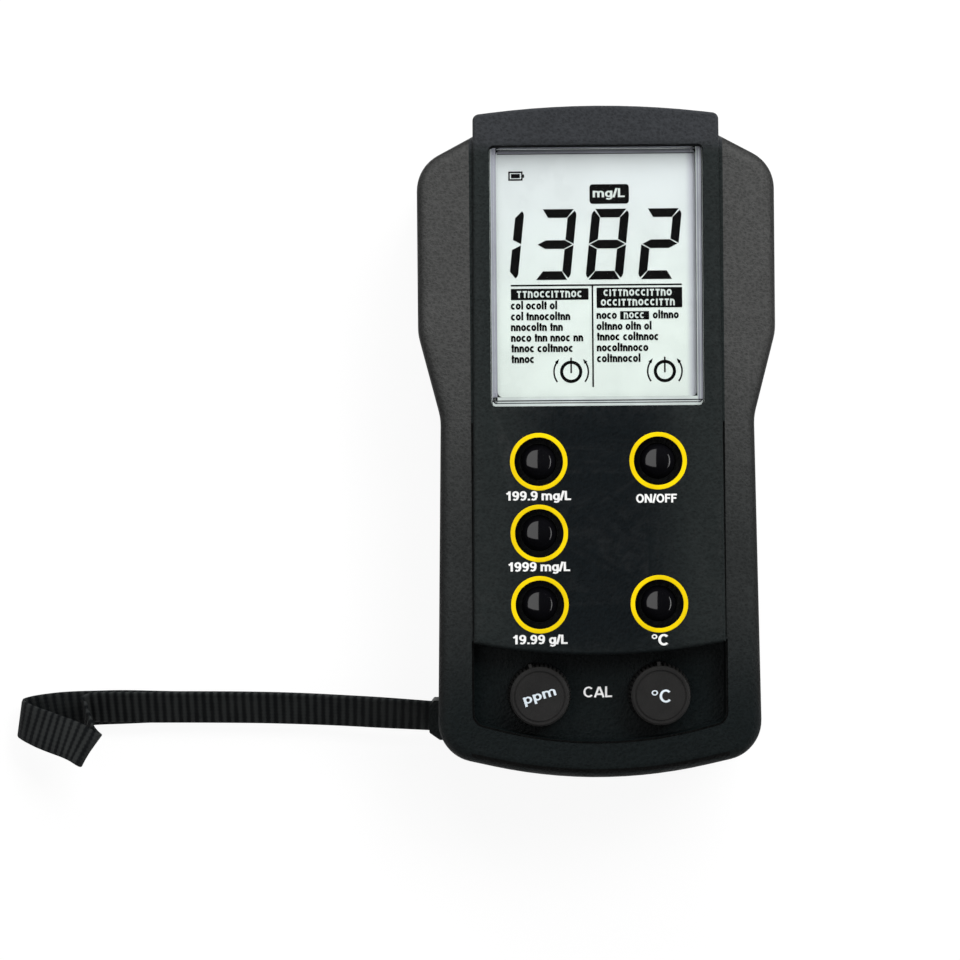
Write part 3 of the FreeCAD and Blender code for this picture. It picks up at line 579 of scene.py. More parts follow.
@dataclass(frozen=True)
class WebbingFinish(Finish):
    """Ribbed nylon webbing, read from the band's own length and width; its colour holds painted light on the
    ribs and painted shade in the grooves.
    """

    depth: float = 0.00012
    dusty: Colour = (0.2, 0.2, 0.19)
    # light end of the weave's shade: the weave's own tone and painted light on the ribs
    ridge_painted_light: Colour = (0.0205, 0.0225, 0.0225)

    def build(self) -> Material:
        """Builds the material.

        Returns:
            The material.
        """
        canvas, material, shader = self.start()
        band = canvas.node("UVMap", {"uv_map": "band"}).outputs[0]
        along, across, _ = canvas.node("SeparateXYZ", Vector=band).outputs
        height, shade = WEAVE.place(canvas, Along=along, Across=across).outputs
        # painted light and shade of the ribs, mixed with the weave's own tone
        colour = canvas.blend(canvas.ramp(shade, -0.7, 0.8), self.colour, self.ridge_painted_light)
        mask = DUST.place(canvas, Place=canvas.object_place(), Amount=self.dust).outputs["Mask"]
        rough = canvas.ramp(shade, -0.5, 0.5, 0.85, 0.6)
        self.cover(canvas, shader, canvas.blend(mask, colour, self.dusty), rough, height)
        return material


def around(centre: Point, radius: float, angle: float) -> Point:
    """Point at a radius and an angle, in radians, round a centre."""
    return (centre[0] + radius * math.cos(angle), centre[1] + radius * math.sin(angle))


def dress(nodes: tuple[str, ...], finish: Finish) -> None:
    """Gives CAD nodes a finish.

    Args:
        nodes: Names of the nodes.
        finish: Their finish.
    """
    material = finish.build()
    for name in nodes:
        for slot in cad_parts[name].material_slots:
            slot.material = material
        log.info("node %s: %s", name, material.name)


@dataclass
class Piece:
    """A new piece, drawn as a mesh in its unit and finished as a dressed object in metres."""

    name: str
    material: Material
    slot: Slot
    body: Body = Body.CASE
    smooth: bool = False
    unit: float = MM
    shape: Shape = field(default_factory=bmesh.new)

    def plate(self, corners: Line, low: float, high: float) -> None:
        """Adds a thin closed plate.

        Args:
            corners: Its outline, anticlockwise.
            low: Height of its underside.
            high: Height of its face.
        """
        under = [self.shape.verts.new((x, y, low)) for x, y in corners]
        over = [self.shape.verts.new((x, y, high)) for x, y in corners]
        self.shape.faces.new(over)
        self.shape.faces.new(list(reversed(under)))
        for i in range(len(corners)):
            following = (i + 1) % len(corners)
            self.shape.faces.new((under[i], under[following], over[following], over[i]))

    def arc_band(self, centre: Point, radii: Point, span: Point, levels: Point) -> None:
        """Adds a flat ring or part of one, with a softly raised middle.

        Args:
            centre: Its centre.
            radii: Its inner and its outer radius.
            span: Its first and its last angle in degrees.
            levels: Heights of its edges and of its middle.
        """
        start, turn = span[0], span[1] - span[0]
        steps = max(8, int(abs(turn) / ARC_SPAN))
        rows = []
        for step in range(steps if abs(turn) >= 360 else steps + 1):
            angle = math.radians(start + turn * step / steps)
            row = []
            for share, level in ARC_PROFILE:
                radius = radii[0] + (radii[1] - radii[0]) * share
                row.append(self.shape.verts.new((*around(centre, radius, angle), levels[level])))
            rows.append(row)
        for step in range(steps):
            here, ahead = rows[step], rows[(step + 1) % len(rows)]
            for i in range(3):
                self.shape.faces.new((here[i], here[i + 1], ahead[i + 1], ahead[i]))

    def stroke(self, line: Line, weight: float, place: Matrix) -> None:
        """Adds one flat pen stroke.

        Args:
            line: Its middle line; it is closed where its ends meet.
            weight: Its width, in the line's own units.
            place: Matrix that puts the line's units in their place.
        """
        closed = math.dist(line[0], line[-1]) < 1e-6
        points = line[:-1] if closed else line
        count = len(points)
        rows = []
        for i, (x, y) in enumerate(points):
            ahead = points[(i + 1) % count] if closed else points[min(i + 1, count - 1)]
            behind = points[i - 1] if closed else points[max(i - 1, 0)]
            half = weight / 2 / math.dist(ahead, behind)
            aside = Vector(((behind[1] - ahead[1]) * half, (ahead[0] - behind[0]) * half, 0))
            middle = Vector((x, y, 0))
            rows.append([self.shape.verts.new(place @ spot) for spot in (middle + aside, middle - aside)])
        for i in range(count if closed else count - 1):
            here, ahead = rows[i], rows[(i + 1) % count]
            self.shape.faces.new((here[0], here[1], ahead[1], ahead[0]))

    def finish(self) -> bpy.types.Object:
        """Turns the drawing into an object that rides on its body.

        Returns:
            The object.
        """
        self.shape.transform(Matrix.Scale(self.unit, 4))
        mesh = bpy.data.meshes.new(self.name)
        self.shape.to_mesh(mesh)
        self.shape.free()
        mesh.materials.append(self.material)
        for face in mesh.polygons:
            face.use_smooth = self.smooth
        piece = bpy.data.objects.new(self.name, mesh)
        bpy.context.collection.objects.link(piece)
        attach(piece, self.body.value)
        log.info("piece %s: %d faces on %s", self.name, len(mesh.polygons), self.body.value)
        return piece


def oval(centre: Point, reach: Point, start: float = 0.0, end: float = 360.0, steps: int = 18) -> Line:
    """Points of an oval or a part of one.

    Args:
        centre: Its centre.
        reach: Its half width and half height.
        start: First angle in degrees.
        end: Last angle in degrees.
        steps: Number of spans.

    Returns:
        Its points, with the first one repeated at the end of a whole oval.
    """
    (x, y), (wide, high) = centre, reach
    turns = [math.radians(start + (end - start) * step / steps) for step in range(steps + 1)]
    return [(x + wide * math.cos(turn), y + high * math.sin(turn)) for turn in turns]


def rounded_corners(left: float, right: float, low: float, high: float, radius: float, steps: int) -> Line:
    """Outline of a rectangle with round corners.

    Args:
        left: Lowest X.
        right: Highest X.
        low: Lowest Y.
        high: Highest Y.
        radius: Corner radius.
        steps: Spans of each corner.

    Returns:
        Its points, anticlockwise.
    """
    near, far = left + radius, right - radius
    centres = ((far, low + radius), (far, high - radius), (near, high - radius), (near, low + radius))
    points = []
    for quarter, centre in enumerate(centres):
        points += oval(centre, (radius, radius), 90 * quarter - 90, 90 * quarter, steps)
    return points


ARCH = oval((0.28, 0.46), (0.17, 0.19), 180, 0, 8)
# Each letter: how far the next one stands, and the middle lines of its strokes; the letter is 1 high.
LETTERS: dict[str, tuple[float, list[Line]]] = {
    " ": (0.26, []),
    "1": (0.56, [[(0.10, 0.70), (0.24, 0.76), (0.35, 0.92)], [(0.35, 1.0), (0.35, 0.0)]]),
    "9": (
        0.62,
        [
            oval((0.29, 0.68), (0.19, 0.24)),
            [(0.48, 0.70), (0.47, 0.36), (0.38, 0.12), (0.24, 0.07), (0.10, 0.14)],
        ],
    ),
    ".": (0.27, [[(0.13, 0.0), (0.13, 0.19)]]),
    "m": (
        0.93,
        [
            [(0.11, 0.74), (0.11, 0.0)],
            [*ARCH, (0.45, 0.0)],
            [(x + 0.34, y) for x, y in ARCH] + [(0.79, 0.0)],
        ],
    ),
    "g": (
        0.62,
        [
            oval((0.29, 0.37), (0.19, 0.28)),
            [(0.49, 0.74), (0.49, 0.0), (0.44, -0.14), (0.30, -0.20), (0.11, -0.13)],
        ],
    ),
    "p": (0.62, [[(0.11, 0.74), (0.11, -0.26)], oval((0.31, 0.37), (0.19, 0.28))]),
    "/": (0.34, [[(0.03, -0.02), (0.27, 1.02)]]),
    "L": (0.58, [[(0.11, 1.0), (0.11, 0.0)], [(0.11, 0.09), (0.54, 0.09)]]),
    "O": (0.82, [oval((0.39, 0.5), (0.29, 0.42), steps=24)]),
    "N": (0.80, [[(0.11, 0.0), (0.11, 1.0)], [(0.14, 0.96), (0.60, 0.04)], [(0.63, 0.0), (0.63, 1.0)]]),
    "F": (0.60, [[(0.11, 0.0), (0.11, 1.0)], [(0.11, 0.91), (0.56, 0.91)], [(0.11, 0.52), (0.50, 0.52)]]),
    "°": (0.44, [oval((0.20, 0.78), (0.15, 0.16))]),
    "C": (0.78, [oval((0.41, 0.5), (0.30, 0.42), 42, 318, 20)]),
    "A": (0.76, [[(0.07, 0.0), (0.36, 0.98)], [(0.40, 0.98), (0.69, 0.0)], [(0.17, 0.29), (0.59, 0.29)]]),
}

# Marks that stand for small print and spell nothing, in the same form as the letters.
RING = (0.92, [oval((0.40, 0.5), (0.28, 0.36), steps=12)])
HALF_RING = (0.86, [oval((0.42, 0.5), (0.29, 0.36), 50, 310, 10)])
GATE = (0.88, [[(0.13, 0.98), (0.13, 0.0)], [*oval((0.38, 0.52), (0.24, 0.32), 180, 0, 8), (0.62, 0.0)]])
TALL_STEM = (0.40, [[(0.17, 0.0), (0.17, 1.45)]])
TALL_CROSS = (0.56, [[(0.25, 1.30), (0.25, 0.0)], [(0.02, 0.86), (0.48, 0.86)]])
STEM = (0.42, [[(0.17, 0.0), (0.17, 1.0)]])
CROSS = (0.86, [[(0.40, 0.90), (0.40, 0.0)], [(0.08, 0.88), (0.72, 0.88)]])
TEXT_MARKS = (RING, GATE, TALL_STEM, HALF_RING, GATE, TALL_CROSS, RING)
HEADING_MARKS = (RING, CROSS, STEM, HALF_RING, GATE, CROSS, HALF_RING)


@dataclass
class Lettering:
    """Plain generic letters and figures, drawn with a pen of even width."""

    words: str
    centre: Point
    width: float
    height: float
    level: float
    turn: float = 0.0
    weight: float = 0.19
    degree_weight: float = 0.55

    def add_to(self, piece: Piece) -> None:
        """Adds the print to a piece.

        Args:
            piece: The piece, drawn in millimetres.
        """
        lines = []
        weights = []
        reach = 0.0
        for letter in self.words:
            step, strokes = LETTERS[letter]
            lines += [[(x + reach, y) for x, y in line] for line in strokes]
            weights += [self.weight * (self.degree_weight if letter == "°" else 1.0)] * len(strokes)
            reach += step
        xs = [x for line in lines for x, _ in line]
        ys = [y for line in lines for _, y in line]
        half = self.weight / 2
        left, right = min(xs) - half, max(xs) + half
        low, high = min(ys) - half * (min(ys) < 0), max(1.0, max(ys))
        middle = Vector(((left + right) / 2, (low + high) / 2, 0))
        fit = Matrix.Diagonal((self.width / (right - left), self.height / (high - low), 1, 1))
        turned = Matrix.Rotation(math.radians(self.turn), 4, "Z")
        for index, (line, weight) in enumerate(zip(lines, weights)):
            lift = Matrix.Translation((*self.centre, self.level + STROKE_LIFT * (index % STROKE_LEVELS)))
            piece.stroke(line, weight, lift @ turned @ fit @ Matrix.Translation(-middle))


@dataclass(frozen=True)
class Lamp:
    """A soft box: it looks at the meter, or only gloss shows it and it hangs level or upright."""

    name: str
    place: Place
    size: Point
    power: float
    gloss: bool = True
    matte: bool = True
    aim: Place = (0.0, 0.0, 0.02)

    def hang(self) -> None:
        """Adds the lamp."""
        data = bpy.data.lights.new(self.name, "AREA")
        data.shape = "RECTANGLE"
        data.size, data.size_y = self.size
        data.energy = self.power
        lamp = bpy.data.objects.new(self.name, data)
        lamp.location = self.place
        lamp.visible_glossy = self.gloss
        lamp.visible_diffuse = self.matte
        lamp.visible_transmission = self.matte
        if self.matte:
            way = Vector(self.aim) - Vector(self.place)
            lamp.rotation_euler = way.to_track_quat("-Z", "Y").to_euler()
        elif self.place[0] > 0:
            lamp.rotation_euler = (0.0, math.radians(90), 0.0)
        bpy.context.collection.objects.link(lamp)


@dataclass
class Studio:
    """Pale floor, soft boxes, dark card, world and camera; all sizes are in metres."""

    camera_place: Place = (-0.0264, -0.0082, 0.686)
    camera_turn: float = -0.5
    lens: float = 109.5
    floor_half: float = 1.5
    floor_level: float = -0.0003
    floor_glow: float = 1.06
    floor_share: float = 0.86
    floor_greys: tuple[Colour, Colour] = ((0.78, 0.78, 0.78), (0.82, 0.82, 0.82))
    card_half: float = 2.5
    card_place: Place = (-0.02, 0.0, 0.80)
    card_greys: tuple[Colour, Colour] = ((0.01, 0.01, 0.01), (0.02, 0.02, 0.02))
    ambient: float = 0.34
    lamps: tuple[Lamp, ...] = (
        Lamp("key_box", (0.34, 0.40, 0.62), (0.50, 0.36), 5.2, gloss=False),
        Lamp("end_box", (-0.05, 0.62, 0.40), (0.60, 0.25), 3.1, gloss=False),
        Lamp("overhead_box", (-0.90, 0.60, 0.79), (1.62, 2.2), 22.0, matte=False),
        Lamp("side_box", (1.05, -0.05, 0.38), (0.24, 1.3), 4.5, matte=False),
    )

    def build(self) -> None:
        """Builds the studio."""
        self.add_camera()
        self.add_floor()
        self.add_world()
        for lamp in self.lamps:
            lamp.hang()
        self.add_card()

    def add_camera(self) -> None:
        """Camera straight above, turned a little as the photograph is."""
        data = bpy.data.cameras.new("camera")
        data.lens = self.lens
        data.sensor_width = 36.0
        data.clip_start = 0.01
        camera = bpy.data.objects.new("camera", data)
        camera.location = self.camera_place
        camera.rotation_euler = (0.0, 0.0, math.radians(self.camera_turn))
        bpy.context.collection.objects.link(camera)
        bpy.context.scene.camera = camera

    def bare(self, owner: Material | bpy.types.World) -> Canvas:
        """Gives a material or the world an empty node tree.

        Args:
            owner: The material or the world.

        Returns:
            Its canvas.
        """
        owner.use_nodes = True
        owner.node_tree.nodes.clear()
        return Canvas(owner.node_tree)

    def seen_directly(self, canvas: Canvas) -> Socket:
        """Share, 0 or 1, of rays that show a background: from the camera, a mirror or through glass."""
        path = canvas.node("LightPath").outputs
        seen = canvas.plus(path["Is Camera Ray"], path["Is Glossy Ray"], clamp=True)
        return canvas.plus(seen, path["Is Transmission Ray"], clamp=True)

    def add_sheet(
        self, name: str, half: float, place: Place, segments: int, material: Material
    ) -> bpy.types.Object:
        """Adds a flat square sheet that isn't part of the meter.

        Args:
            name: Its name.
            half: Half its side.
            place: Its centre.
            segments: Faces along each side.
            material: Its material.

        Returns:
            The sheet.
        """
        shape = bmesh.new()
        bmesh.ops.create_grid(shape, x_segments=segments, y_segments=segments, size=half)
        bmesh.ops.translate(shape, verts=shape.verts, vec=place)
        mesh = bpy.data.meshes.new(name)
        shape.to_mesh(mesh)
        shape.free()
        mesh.materials.append(material)
        sheet = bpy.data.objects.new(name, mesh)
        bpy.context.collection.objects.link(sheet)
        return sheet

    def add_floor(self) -> None:
        """Pale floor that shows near white and keeps a soft shadow."""
        material = bpy.data.materials.new("pale_floor")
        canvas = self.bare(material)
        cloudy = canvas.blend(canvas.noise(canvas.object_place(), 3.0), *self.floor_greys)
        matte = canvas.node("BsdfDiffuse", Color=cloudy)
        glow = canvas.node("Emission", Color=(1.0, 1.0, 1.0), Strength=self.floor_glow)
        share = canvas.times(self.seen_directly(canvas), self.floor_share)
        canvas.node("OutputMaterial", Surface=canvas.mixed(share, matte, glow))
        self.add_sheet("floor", self.floor_half, (0.0, 0.0, self.floor_level), 12, material)

    def add_world(self) -> None:
        """Grey ambient light that shows as white."""
        world = bpy.data.worlds.new("studio")
        bpy.context.scene.world = world
        canvas = self.bare(world)
        grey = canvas.node("Background", Color=(1.0, 1.0, 1.0), Strength=self.ambient)
        white = canvas.node("Background", Color=(1.0, 1.0, 1.0), Strength=1.0)
        canvas.node("OutputWorld", Surface=canvas.mixed(self.seen_directly(canvas), grey, white))

    def add_card(self) -> None:
        """Dark card above the camera, which only reflections and glass see."""
        material = bpy.data.materials.new("card_black")
        canvas = self.bare(material)
        nap = canvas.blend(canvas.noise(canvas.object_place(), 40.0), *self.card_greys)
        canvas.node("OutputMaterial", Surface=canvas.node("BsdfDiffuse", Color=nap).outputs[0])
        card = self.add_sheet("dark_card", self.card_half, self.card_place, 4, material)
        card.visible_camera = False
        card.visible_diffuse = False
        card.visible_shadow = False


@dataclass
class WristStrap:
    """Doubled loop of ribbed webbing that lies to the left of the meter.

    Sizes are in millimetres, but for its real length in metres. Each point of the route has its place and
    the direction of the band's width. The profile is one face of the band, as shares of half its width and
    half its thickness. Where two points of the line are about as near to a point of the route, the cost of
    each step picks the first of them.
    """

    width: float = 9.0
    thickness: float = 0.95
    rib_pitch: float = 1.85
    rib_depth: float = 0.24
    rib_fullness: float = 0.6
    step: float = 0.22
    step_cost: float = 0.02
    length: float = 0.215
    finish: WebbingFinish = WebbingFinish(
        "strap_webbing", (0.0022, 0.0030, 0.0038), 0.8, specular=0.08, relief=0.5, dust=0.03
    )
    profile: tuple[Point, ...] = (
        (-1.0, 0.0), (-0.975, 0.7), (-0.9, 1.0), (-0.55, 1.0), (-0.18, 1.0),
        (0.18, 1.0), (0.55, 1.0), (0.9, 1.0), (0.975, 0.7), (1.0, 0.0),
    )
    route: tuple[tuple[Place, Place], ...] = (
        ((-33.0, -63.3, 4.8), (0.0, 0.74, 0.67)),
        ((-54.0, -61.8, 4.2), (0.0, 0.79, 0.61)),
        ((-75.0, -60.8, 3.7), (0.0, 0.81, 0.58)),
        ((-96.0, -60.5, 3.5), (0.0, 0.81, 0.58)),
        ((-114.0, -60.5, 3.4), (0.0, 0.90, 0.43)),
        ((-126.0, -61.1, 3.2), (0.08, 0.94, 0.32)),
        ((-133.9, -62.6, 2.4), (0.15, 0.95, 0.27)),
        ((-133.9, -63.1, 6.2), (0.18, 0.95, 0.20)),
        ((-127.0, -65.7, 9.4), (0.40, 0.91, 0.06)),
        ((-120.5, -67.5, 12.8), (0.50, 0.86, 0.04)),
        ((-116.6, -69.7, 15.0), (0.58, 0.81, 0.0)),
        ((-116.9, -69.2, 12.2), (0.55, 0.80, 0.12)),
        ((-117.4, -66.0, 10.2), (0.30, 0.52, 0.80)),
        ((-118.3, -61.8, 7.8), (0.10, 0.56, 0.82)),
        ((-119.0, -60.4, 6.9), (0.03, 0.72, 0.69)),
        ((-115.2, -60.2, 6.7), (0.0, 0.80, 0.60)),
        ((-106.0, -60.4, 6.9), (0.0, 0.81, 0.58)),
        ((-92.0, -60.5, 6.8), (0.0, 0.81, 0.58)),
        ((-73.0, -60.8, 7.0), (0.0, 0.81, 0.58)),
        ((-54.0, -61.8, 7.6), (0.0, 0.79, 0.61)),
        ((-33.0, -63.3, 8.1), (0.0, 0.74, 0.67)),
    )

    def centre_line(self) -> list[Vector]:
        """Reads the smooth line of the route.

        Returns:
            Its points in metres.
        """
        curve = bpy.data.curves.new("strap_line", "CURVE")
        curve.dimensions = "3D"
        curve.resolution_u = 24
        spline = curve.splines.new("NURBS")
        spline.points.add(len(self.route) - 1)
        for point, (place, _) in zip(spline.points, self.route):
            point.co = (*(part * MM for part in place), 1.0)
        spline.order_u = 3
        spline.use_endpoint_u = True
        carrier = bpy.data.objects.new("strap_line", curve)
        bpy.context.collection.objects.link(carrier)
        bpy.context.view_layer.update()
        mesh = bpy.data.meshes.new_from_object(carrier)
        line = [vertex.co.copy() for vertex in mesh.vertices]
        bpy.data.objects.remove(carrier)
        bpy.data.curves.remove(curve)
        bpy.data.meshes.remove(mesh)
        return line

    def evenly(self, line: list[Vector]) -> list[Vector]:
        """Walks the line in even steps.

        Args:
            line: Its points.

        Returns:
            Points at even distances.
        """
        walked = [0.0]
        for before, after in zip(line, line[1:]):
            walked.append(walked[-1] + (after - before).length)
        count = int(walked[-1] / (self.step * MM))
        points = []
        span = 0
        for i in range(count + 1):
            target = walked[-1] * i / count
            while span < len(line) - 2 and walked[span + 1] < target:
                span += 1
            share = (target - walked[span]) / (walked[span + 1] - walked[span])
            points.append(line[span].lerp(line[span + 1], share))
        return points

    def leans(self, points: list[Vector]) -> list[Vector]:
        """Direction of the band's width at every point.

        Args:
            points: The walked line.

        Returns:
            One unit vector for each point.
        """
        marks = []
        start = 0
        for place, lean in self.route:
            here = Vector(place) * MM
            reach = range(start, len(points))
            start = min(reach, key=lambda i: (points[i] - here).length + self.step_cost * (i - reach[0]) * MM)
            marks.append((start, Vector(lean).normalized()))
        marks[0] = (0, marks[0][1])
        marks[-1] = (len(points) - 1, marks[-1][1])
        result = []
        for i in range(len(points)):
            after = next(k for k in range(1, len(marks)) if marks[k][0] >= i)
            first, lean_first = marks[after - 1]
            last, lean_last = marks[after]
            share = (i - first) / max(1, last - first)
            share = share * share * (3 - 2 * share)
            result.append(lean_first.lerp(lean_last, share).normalized())
        return result

    def rows(self, shape: Shape, points: list[Vector]) -> list[list[bmesh.types.BMVert]]:
        """Places the corners of the band's profile along its line.

        Args:
            shape: The mesh that they go into.
            points: The walked line.

        Returns:
            The corners at each point of the line.
        """
        profile = [*self.profile, *((across, -up) for across, up in reversed(self.profile[1:-1]))]
        half = self.width / 2 * MM
        edge = self.thickness / 2 * MM
        last = len(points) - 1
        rows = []
        for i, (centre, lean) in enumerate(zip(points, self.leans(points))):
            tangent = (points[min(i + 1, last)] - points[max(i - 1, 0)]).normalized()
            lean = (lean - tangent * lean.dot(tangent)).normalized()
            normal = tangent.cross(lean)
            rib = abs(math.sin(math.pi * i * self.step / self.rib_pitch)) ** self.rib_fullness
            row = []
            for across, up in profile:
                sunk = math.copysign(self.rib_depth * MM * (1 - rib), up) * (abs(up) >= 1.0)
                row.append(shape.verts.new(centre + lean * half * across + normal * (edge * up - sunk)))
            rows.append(row)
        return rows

    def build(self) -> None:
        """Builds the band along its line."""
        points = self.evenly(self.centre_line())
        piece = Piece("strap_band", self.finish.build(), Slot.STRAP, smooth=True, unit=1.0)
        layer = piece.shape.loops.layers.uv.new("band")
        rows = self.rows(piece.shape, points)
        sides = len(rows[0])
        for i in range(len(rows) - 1):
            for k in range(sides):
                after = (k + 1) % sides
                corners = (rows[i][k], rows[i + 1][k], rows[i + 1][after], rows[i][after])
                face = piece.shape.faces.new(corners)
                spots = ((i, k), (i + 1, k), (i + 1, k + 1), (i, k + 1))
                for loop, (along, around) in zip(face.loops, spots):
                    turn = around if around <= sides // 2 else sides - around
                    loop[layer].uv = (along * self.step * MM, turn * self.width / (sides // 2) * MM)
        piece.shape.faces.new(rows[0])
        piece.shape.faces.new(list(reversed(rows[-1])))
        bmesh.ops.recalc_face_normals(piece.shape, faces=piece.shape.faces)
        band = piece.finish()
        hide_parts("wrist_strap")
        walked = sum((after - before).length for before, after in zip(points, points[1:]))
        log.info("strap: %.1f mm along its line", walked / MM)


@dataclass
class CaseShells:
    """Both halves of the case, the seal between them and the door in the back."""

    plastic: CaseFinish = CaseFinish(
        "case_plastic", (0.0525, 0.0530, 0.0520), 0.55, specular=0.08, pitch=1300.0, relief=0.9,
        variation=0.05, wear=0.2, worn=(0.05, 0.05, 0.05), dust=0.002, speckle=0.22,
    )
    seal: Finish = Finish("seal_rubber", (0.02, 0.02, 0.02), 0.8, pitch=1500.0, variation=0.3)

    def build(self) -> None:
        """Dresses the CAD nodes."""
        dress(("front_case", "rear_case", "battery_door"), self.plastic)
        dress(("case_seal",), self.seal)


@dataclass
class DisplayUnit:
    """Window, pale display and what it shows, with thin lines of painted highlight, painted reflection and
    painted shade along the window's edges.

    Each line of small print and of headings has the X at which it starts, the height of its middle and the
    marks in each word, and a heading its size too. Each rule has its left, right, low and high side, the
    radius of its corners and their spans. An edge line has its left, right, low and high side and its level.
    A figure's shoulder is cut at points given from its left and its top. A knob's sign is a ring with a bar,
    half as wide, so far down and so far up from its middle, between two arcs that end in arrowheads; each
    corner of an arrowhead has its angle from the way it points and its distance.
    """

    level: float = 32.42
    depth: float = 0.03
    slant: float = 6.0
    digit_width: float = 8.35
    digit_height: float = 15.80
    digit_foot: float = 36.40
    bar: float = 1.93
    gap: float = 0.14
    cut: float = 0.72
    shoulder: tuple[Point, ...] = ((0.52, 0.38), (0.2, 0.75), (0.0, 1.3))
    letter_height: float = 1.34
    letter_stretch: float = 0.96
    letter_weight: float = 0.33
    heading_weight: float = 0.72
    word_gap: float = 0.45
    figures: tuple[tuple[str, float], ...] = (
        ("bc", -25.93), ("abcdg", -14.19), ("abcdefg", -2.45), ("abdeg", 9.29)
    )
    unit_place: Point = (3.06, 55.50)
    unit_size: Point = (7.4, 2.6)
    knob_signs: tuple[Point, ...] = ((-5.80, 15.81), (15.15, 15.81))
    sign_ring: Point = (1.78, 2.5)
    sign_bar: Place = (0.18, 0.3, 3.2)
    sign_arc: Point = (3.65, 4.02)
    sign_span: float = 36.0
    arrow_radius: float = 3.85
    arrow: tuple[Point, ...] = ((0.0, 0.75), (2.3, 0.55), (-2.3, 0.55))
    ink: Finish = Finish(
        "display_ink", (0.003, 0.003, 0.003), 0.6, specular=0.03, relief=0.02, variation=0.15
    )
    paper: Finish = Finish(
        "display_figures", (0.66, 0.72, 0.69), 0.4, specular=0.2, relief=0.02, variation=0.03
    )
    glass: WindowFinish = WindowFinish("window_clear", (0.95, 0.97, 0.97), 0.03, pitch=300.0)
    back: DisplayFinish = DisplayFinish(
        "display_glass", (0.785, 0.865, 0.815), 0.3, specular=0.3, relief=0.01, variation=0.03
    )
    rules: tuple[tuple[float, float, float, float, float, int], ...] = (
        (-1.36, 7.45, 53.33, 57.69, 0.7, 5),
        (-19.14, 19.12, 35.0, 35.36, 0.05, 1),
        (-1.08, -0.72, 12.36, 35.0, 0.05, 1),
        (-19.14, -1.77, 31.93, 34.46, 0.15, 2),
        (0.02, 19.16, 30.05, 34.57, 0.15, 2),
        (5.25, 11.74, 27.39, 29.27, 0.1, 2),
        (-19.2, -16.6, 60.35, 60.7, 0.05, 1),
        (-19.2, -16.6, 58.65, 59.0, 0.05, 1),
        (-19.5, -19.15, 58.65, 60.7, 0.05, 1),
        (-16.6, -16.3, 58.65, 60.7, 0.05, 1),
        (-18.9, -16.9, 59.2, 60.15, 0.05, 1),
        (-16.28, -15.95, 59.3, 60.05, 0.05, 1),
    )
    small_print: tuple[tuple[float, float, tuple[int, ...]], ...] = (
        (-19.14, 30.49, (3, 5, 2)),
        (-19.14, 28.07, (3, 10)),
        (-19.14, 25.68, (8, 3)),
        (-19.14, 23.29, (4, 3, 4, 2)),
        (-19.14, 20.94, (5, 8)),
        (-19.14, 18.53, (5,)),
        (0.02, 25.77, (6, 4, 2)),
        (0.02, 23.42, (5, 8)),
        (0.02, 20.99, (11,)),
        (0.02, 18.57, (10,)),
        (0.02, 28.25, (4,)),
        (12.6, 28.25, (6,)),
    )
    headings: tuple[tuple[float, float, tuple[int, ...], float], ...] = (
        (-17.9, 33.2, (12,), 1.15),
        (1.55, 33.42, (13,), 1.15),
        (0.95, 31.25, (14,), 1.15),
        (6.05, 28.33, (4,), 1.05),
    )
    # Painted light along the window: pale lines are a painted highlight on its bevel, grey lines a painted
    # reflection of its walls, dark lines painted shade; those at level 32.43 lie on the display's top edge.
    edge_lines: tuple[tuple[str, Finish, tuple[Strip, ...]], ...] = (
        (
            "window_edge_painted_highlight",
            Finish("edge_painted_highlight", (0.60, 0.66, 0.64), 0.4, specular=0.2, relief=0.01, variation=0.08),
            (
                (-23.55, -23.36, 8.5, 65.9, 33.81),
                (-23.12, -22.98, 9.2, 65.4, 33.81),
                (22.31, 22.47, 9.2, 65.4, 33.81),
                (23.36, 23.56, 8.5, 65.9, 33.81),
                (-23.1, 23.1, 8.42, 9.22, 33.81),
                (-22.9, 22.3, 9.50, 10.19, 33.81),
            ),
        ),
        (
            "window_edge_painted_reflection",
            Finish("edge_painted_reflection", (0.33, 0.34, 0.39), 0.4, specular=0.2, relief=0.01, variation=0.08),
            (
                (-22.98, -22.33, 9.5, 65.4, 33.81),
                (22.47, 23.08, 9.5, 65.4, 33.81),
                (-22.0, 21.2, 64.65, 65.35, 32.43),
            ),
        ),
        (
            "window_edge_painted_shade",
            Finish("edge_painted_shade", (0.03, 0.03, 0.034), 0.5, specular=0.1, relief=0.01, variation=0.2),
            (
                (-23.36, -23.12, 9.2, 65.4, 33.81),
                (23.08, 23.36, 9.2, 65.4, 33.81),
                (-23.1, 23.1, 9.22, 9.50, 33.81),
                (-22.0, 22.0, 64.47, 64.65, 32.43),
            ),
        ),
    )

    def build(self) -> None:
        """Dresses the window and the panel and draws the display."""
        dress(("display_window",), self.glass)
        dress(("lcd_panel",), self.back)
        ink = self.ink.build()
        digits = Piece("display_digits", ink, Slot.DISPLAY)
        for bars, left in self.figures:
            self.add_figure(digits, bars, left)
        digits.finish()
        legend = Piece("display_legend", ink, Slot.DISPLAY)
        for rule in self.rules:
            self.add_plate(legend, rounded_corners(*rule))
        for left, middle, words in self.small_print:
            self.add_line(legend, left, middle, words)
        legend.finish()
        signs = Piece("display_knob_signs", ink, Slot.DISPLAY)
        for centre in self.knob_signs:
            self.add_knob_sign(signs, centre)
        signs.finish()
        unit = Piece("display_unit", self.paper.build(), Slot.DISPLAY)
        level = self.level + self.depth + PRINT_LIFT
        Lettering("mg/L", self.unit_place, *self.unit_size, level, weight=0.17).add_to(unit)
        for left, middle, words, size in self.headings:
            self.add_line(unit, left, middle, words, size, True)
        unit.finish()
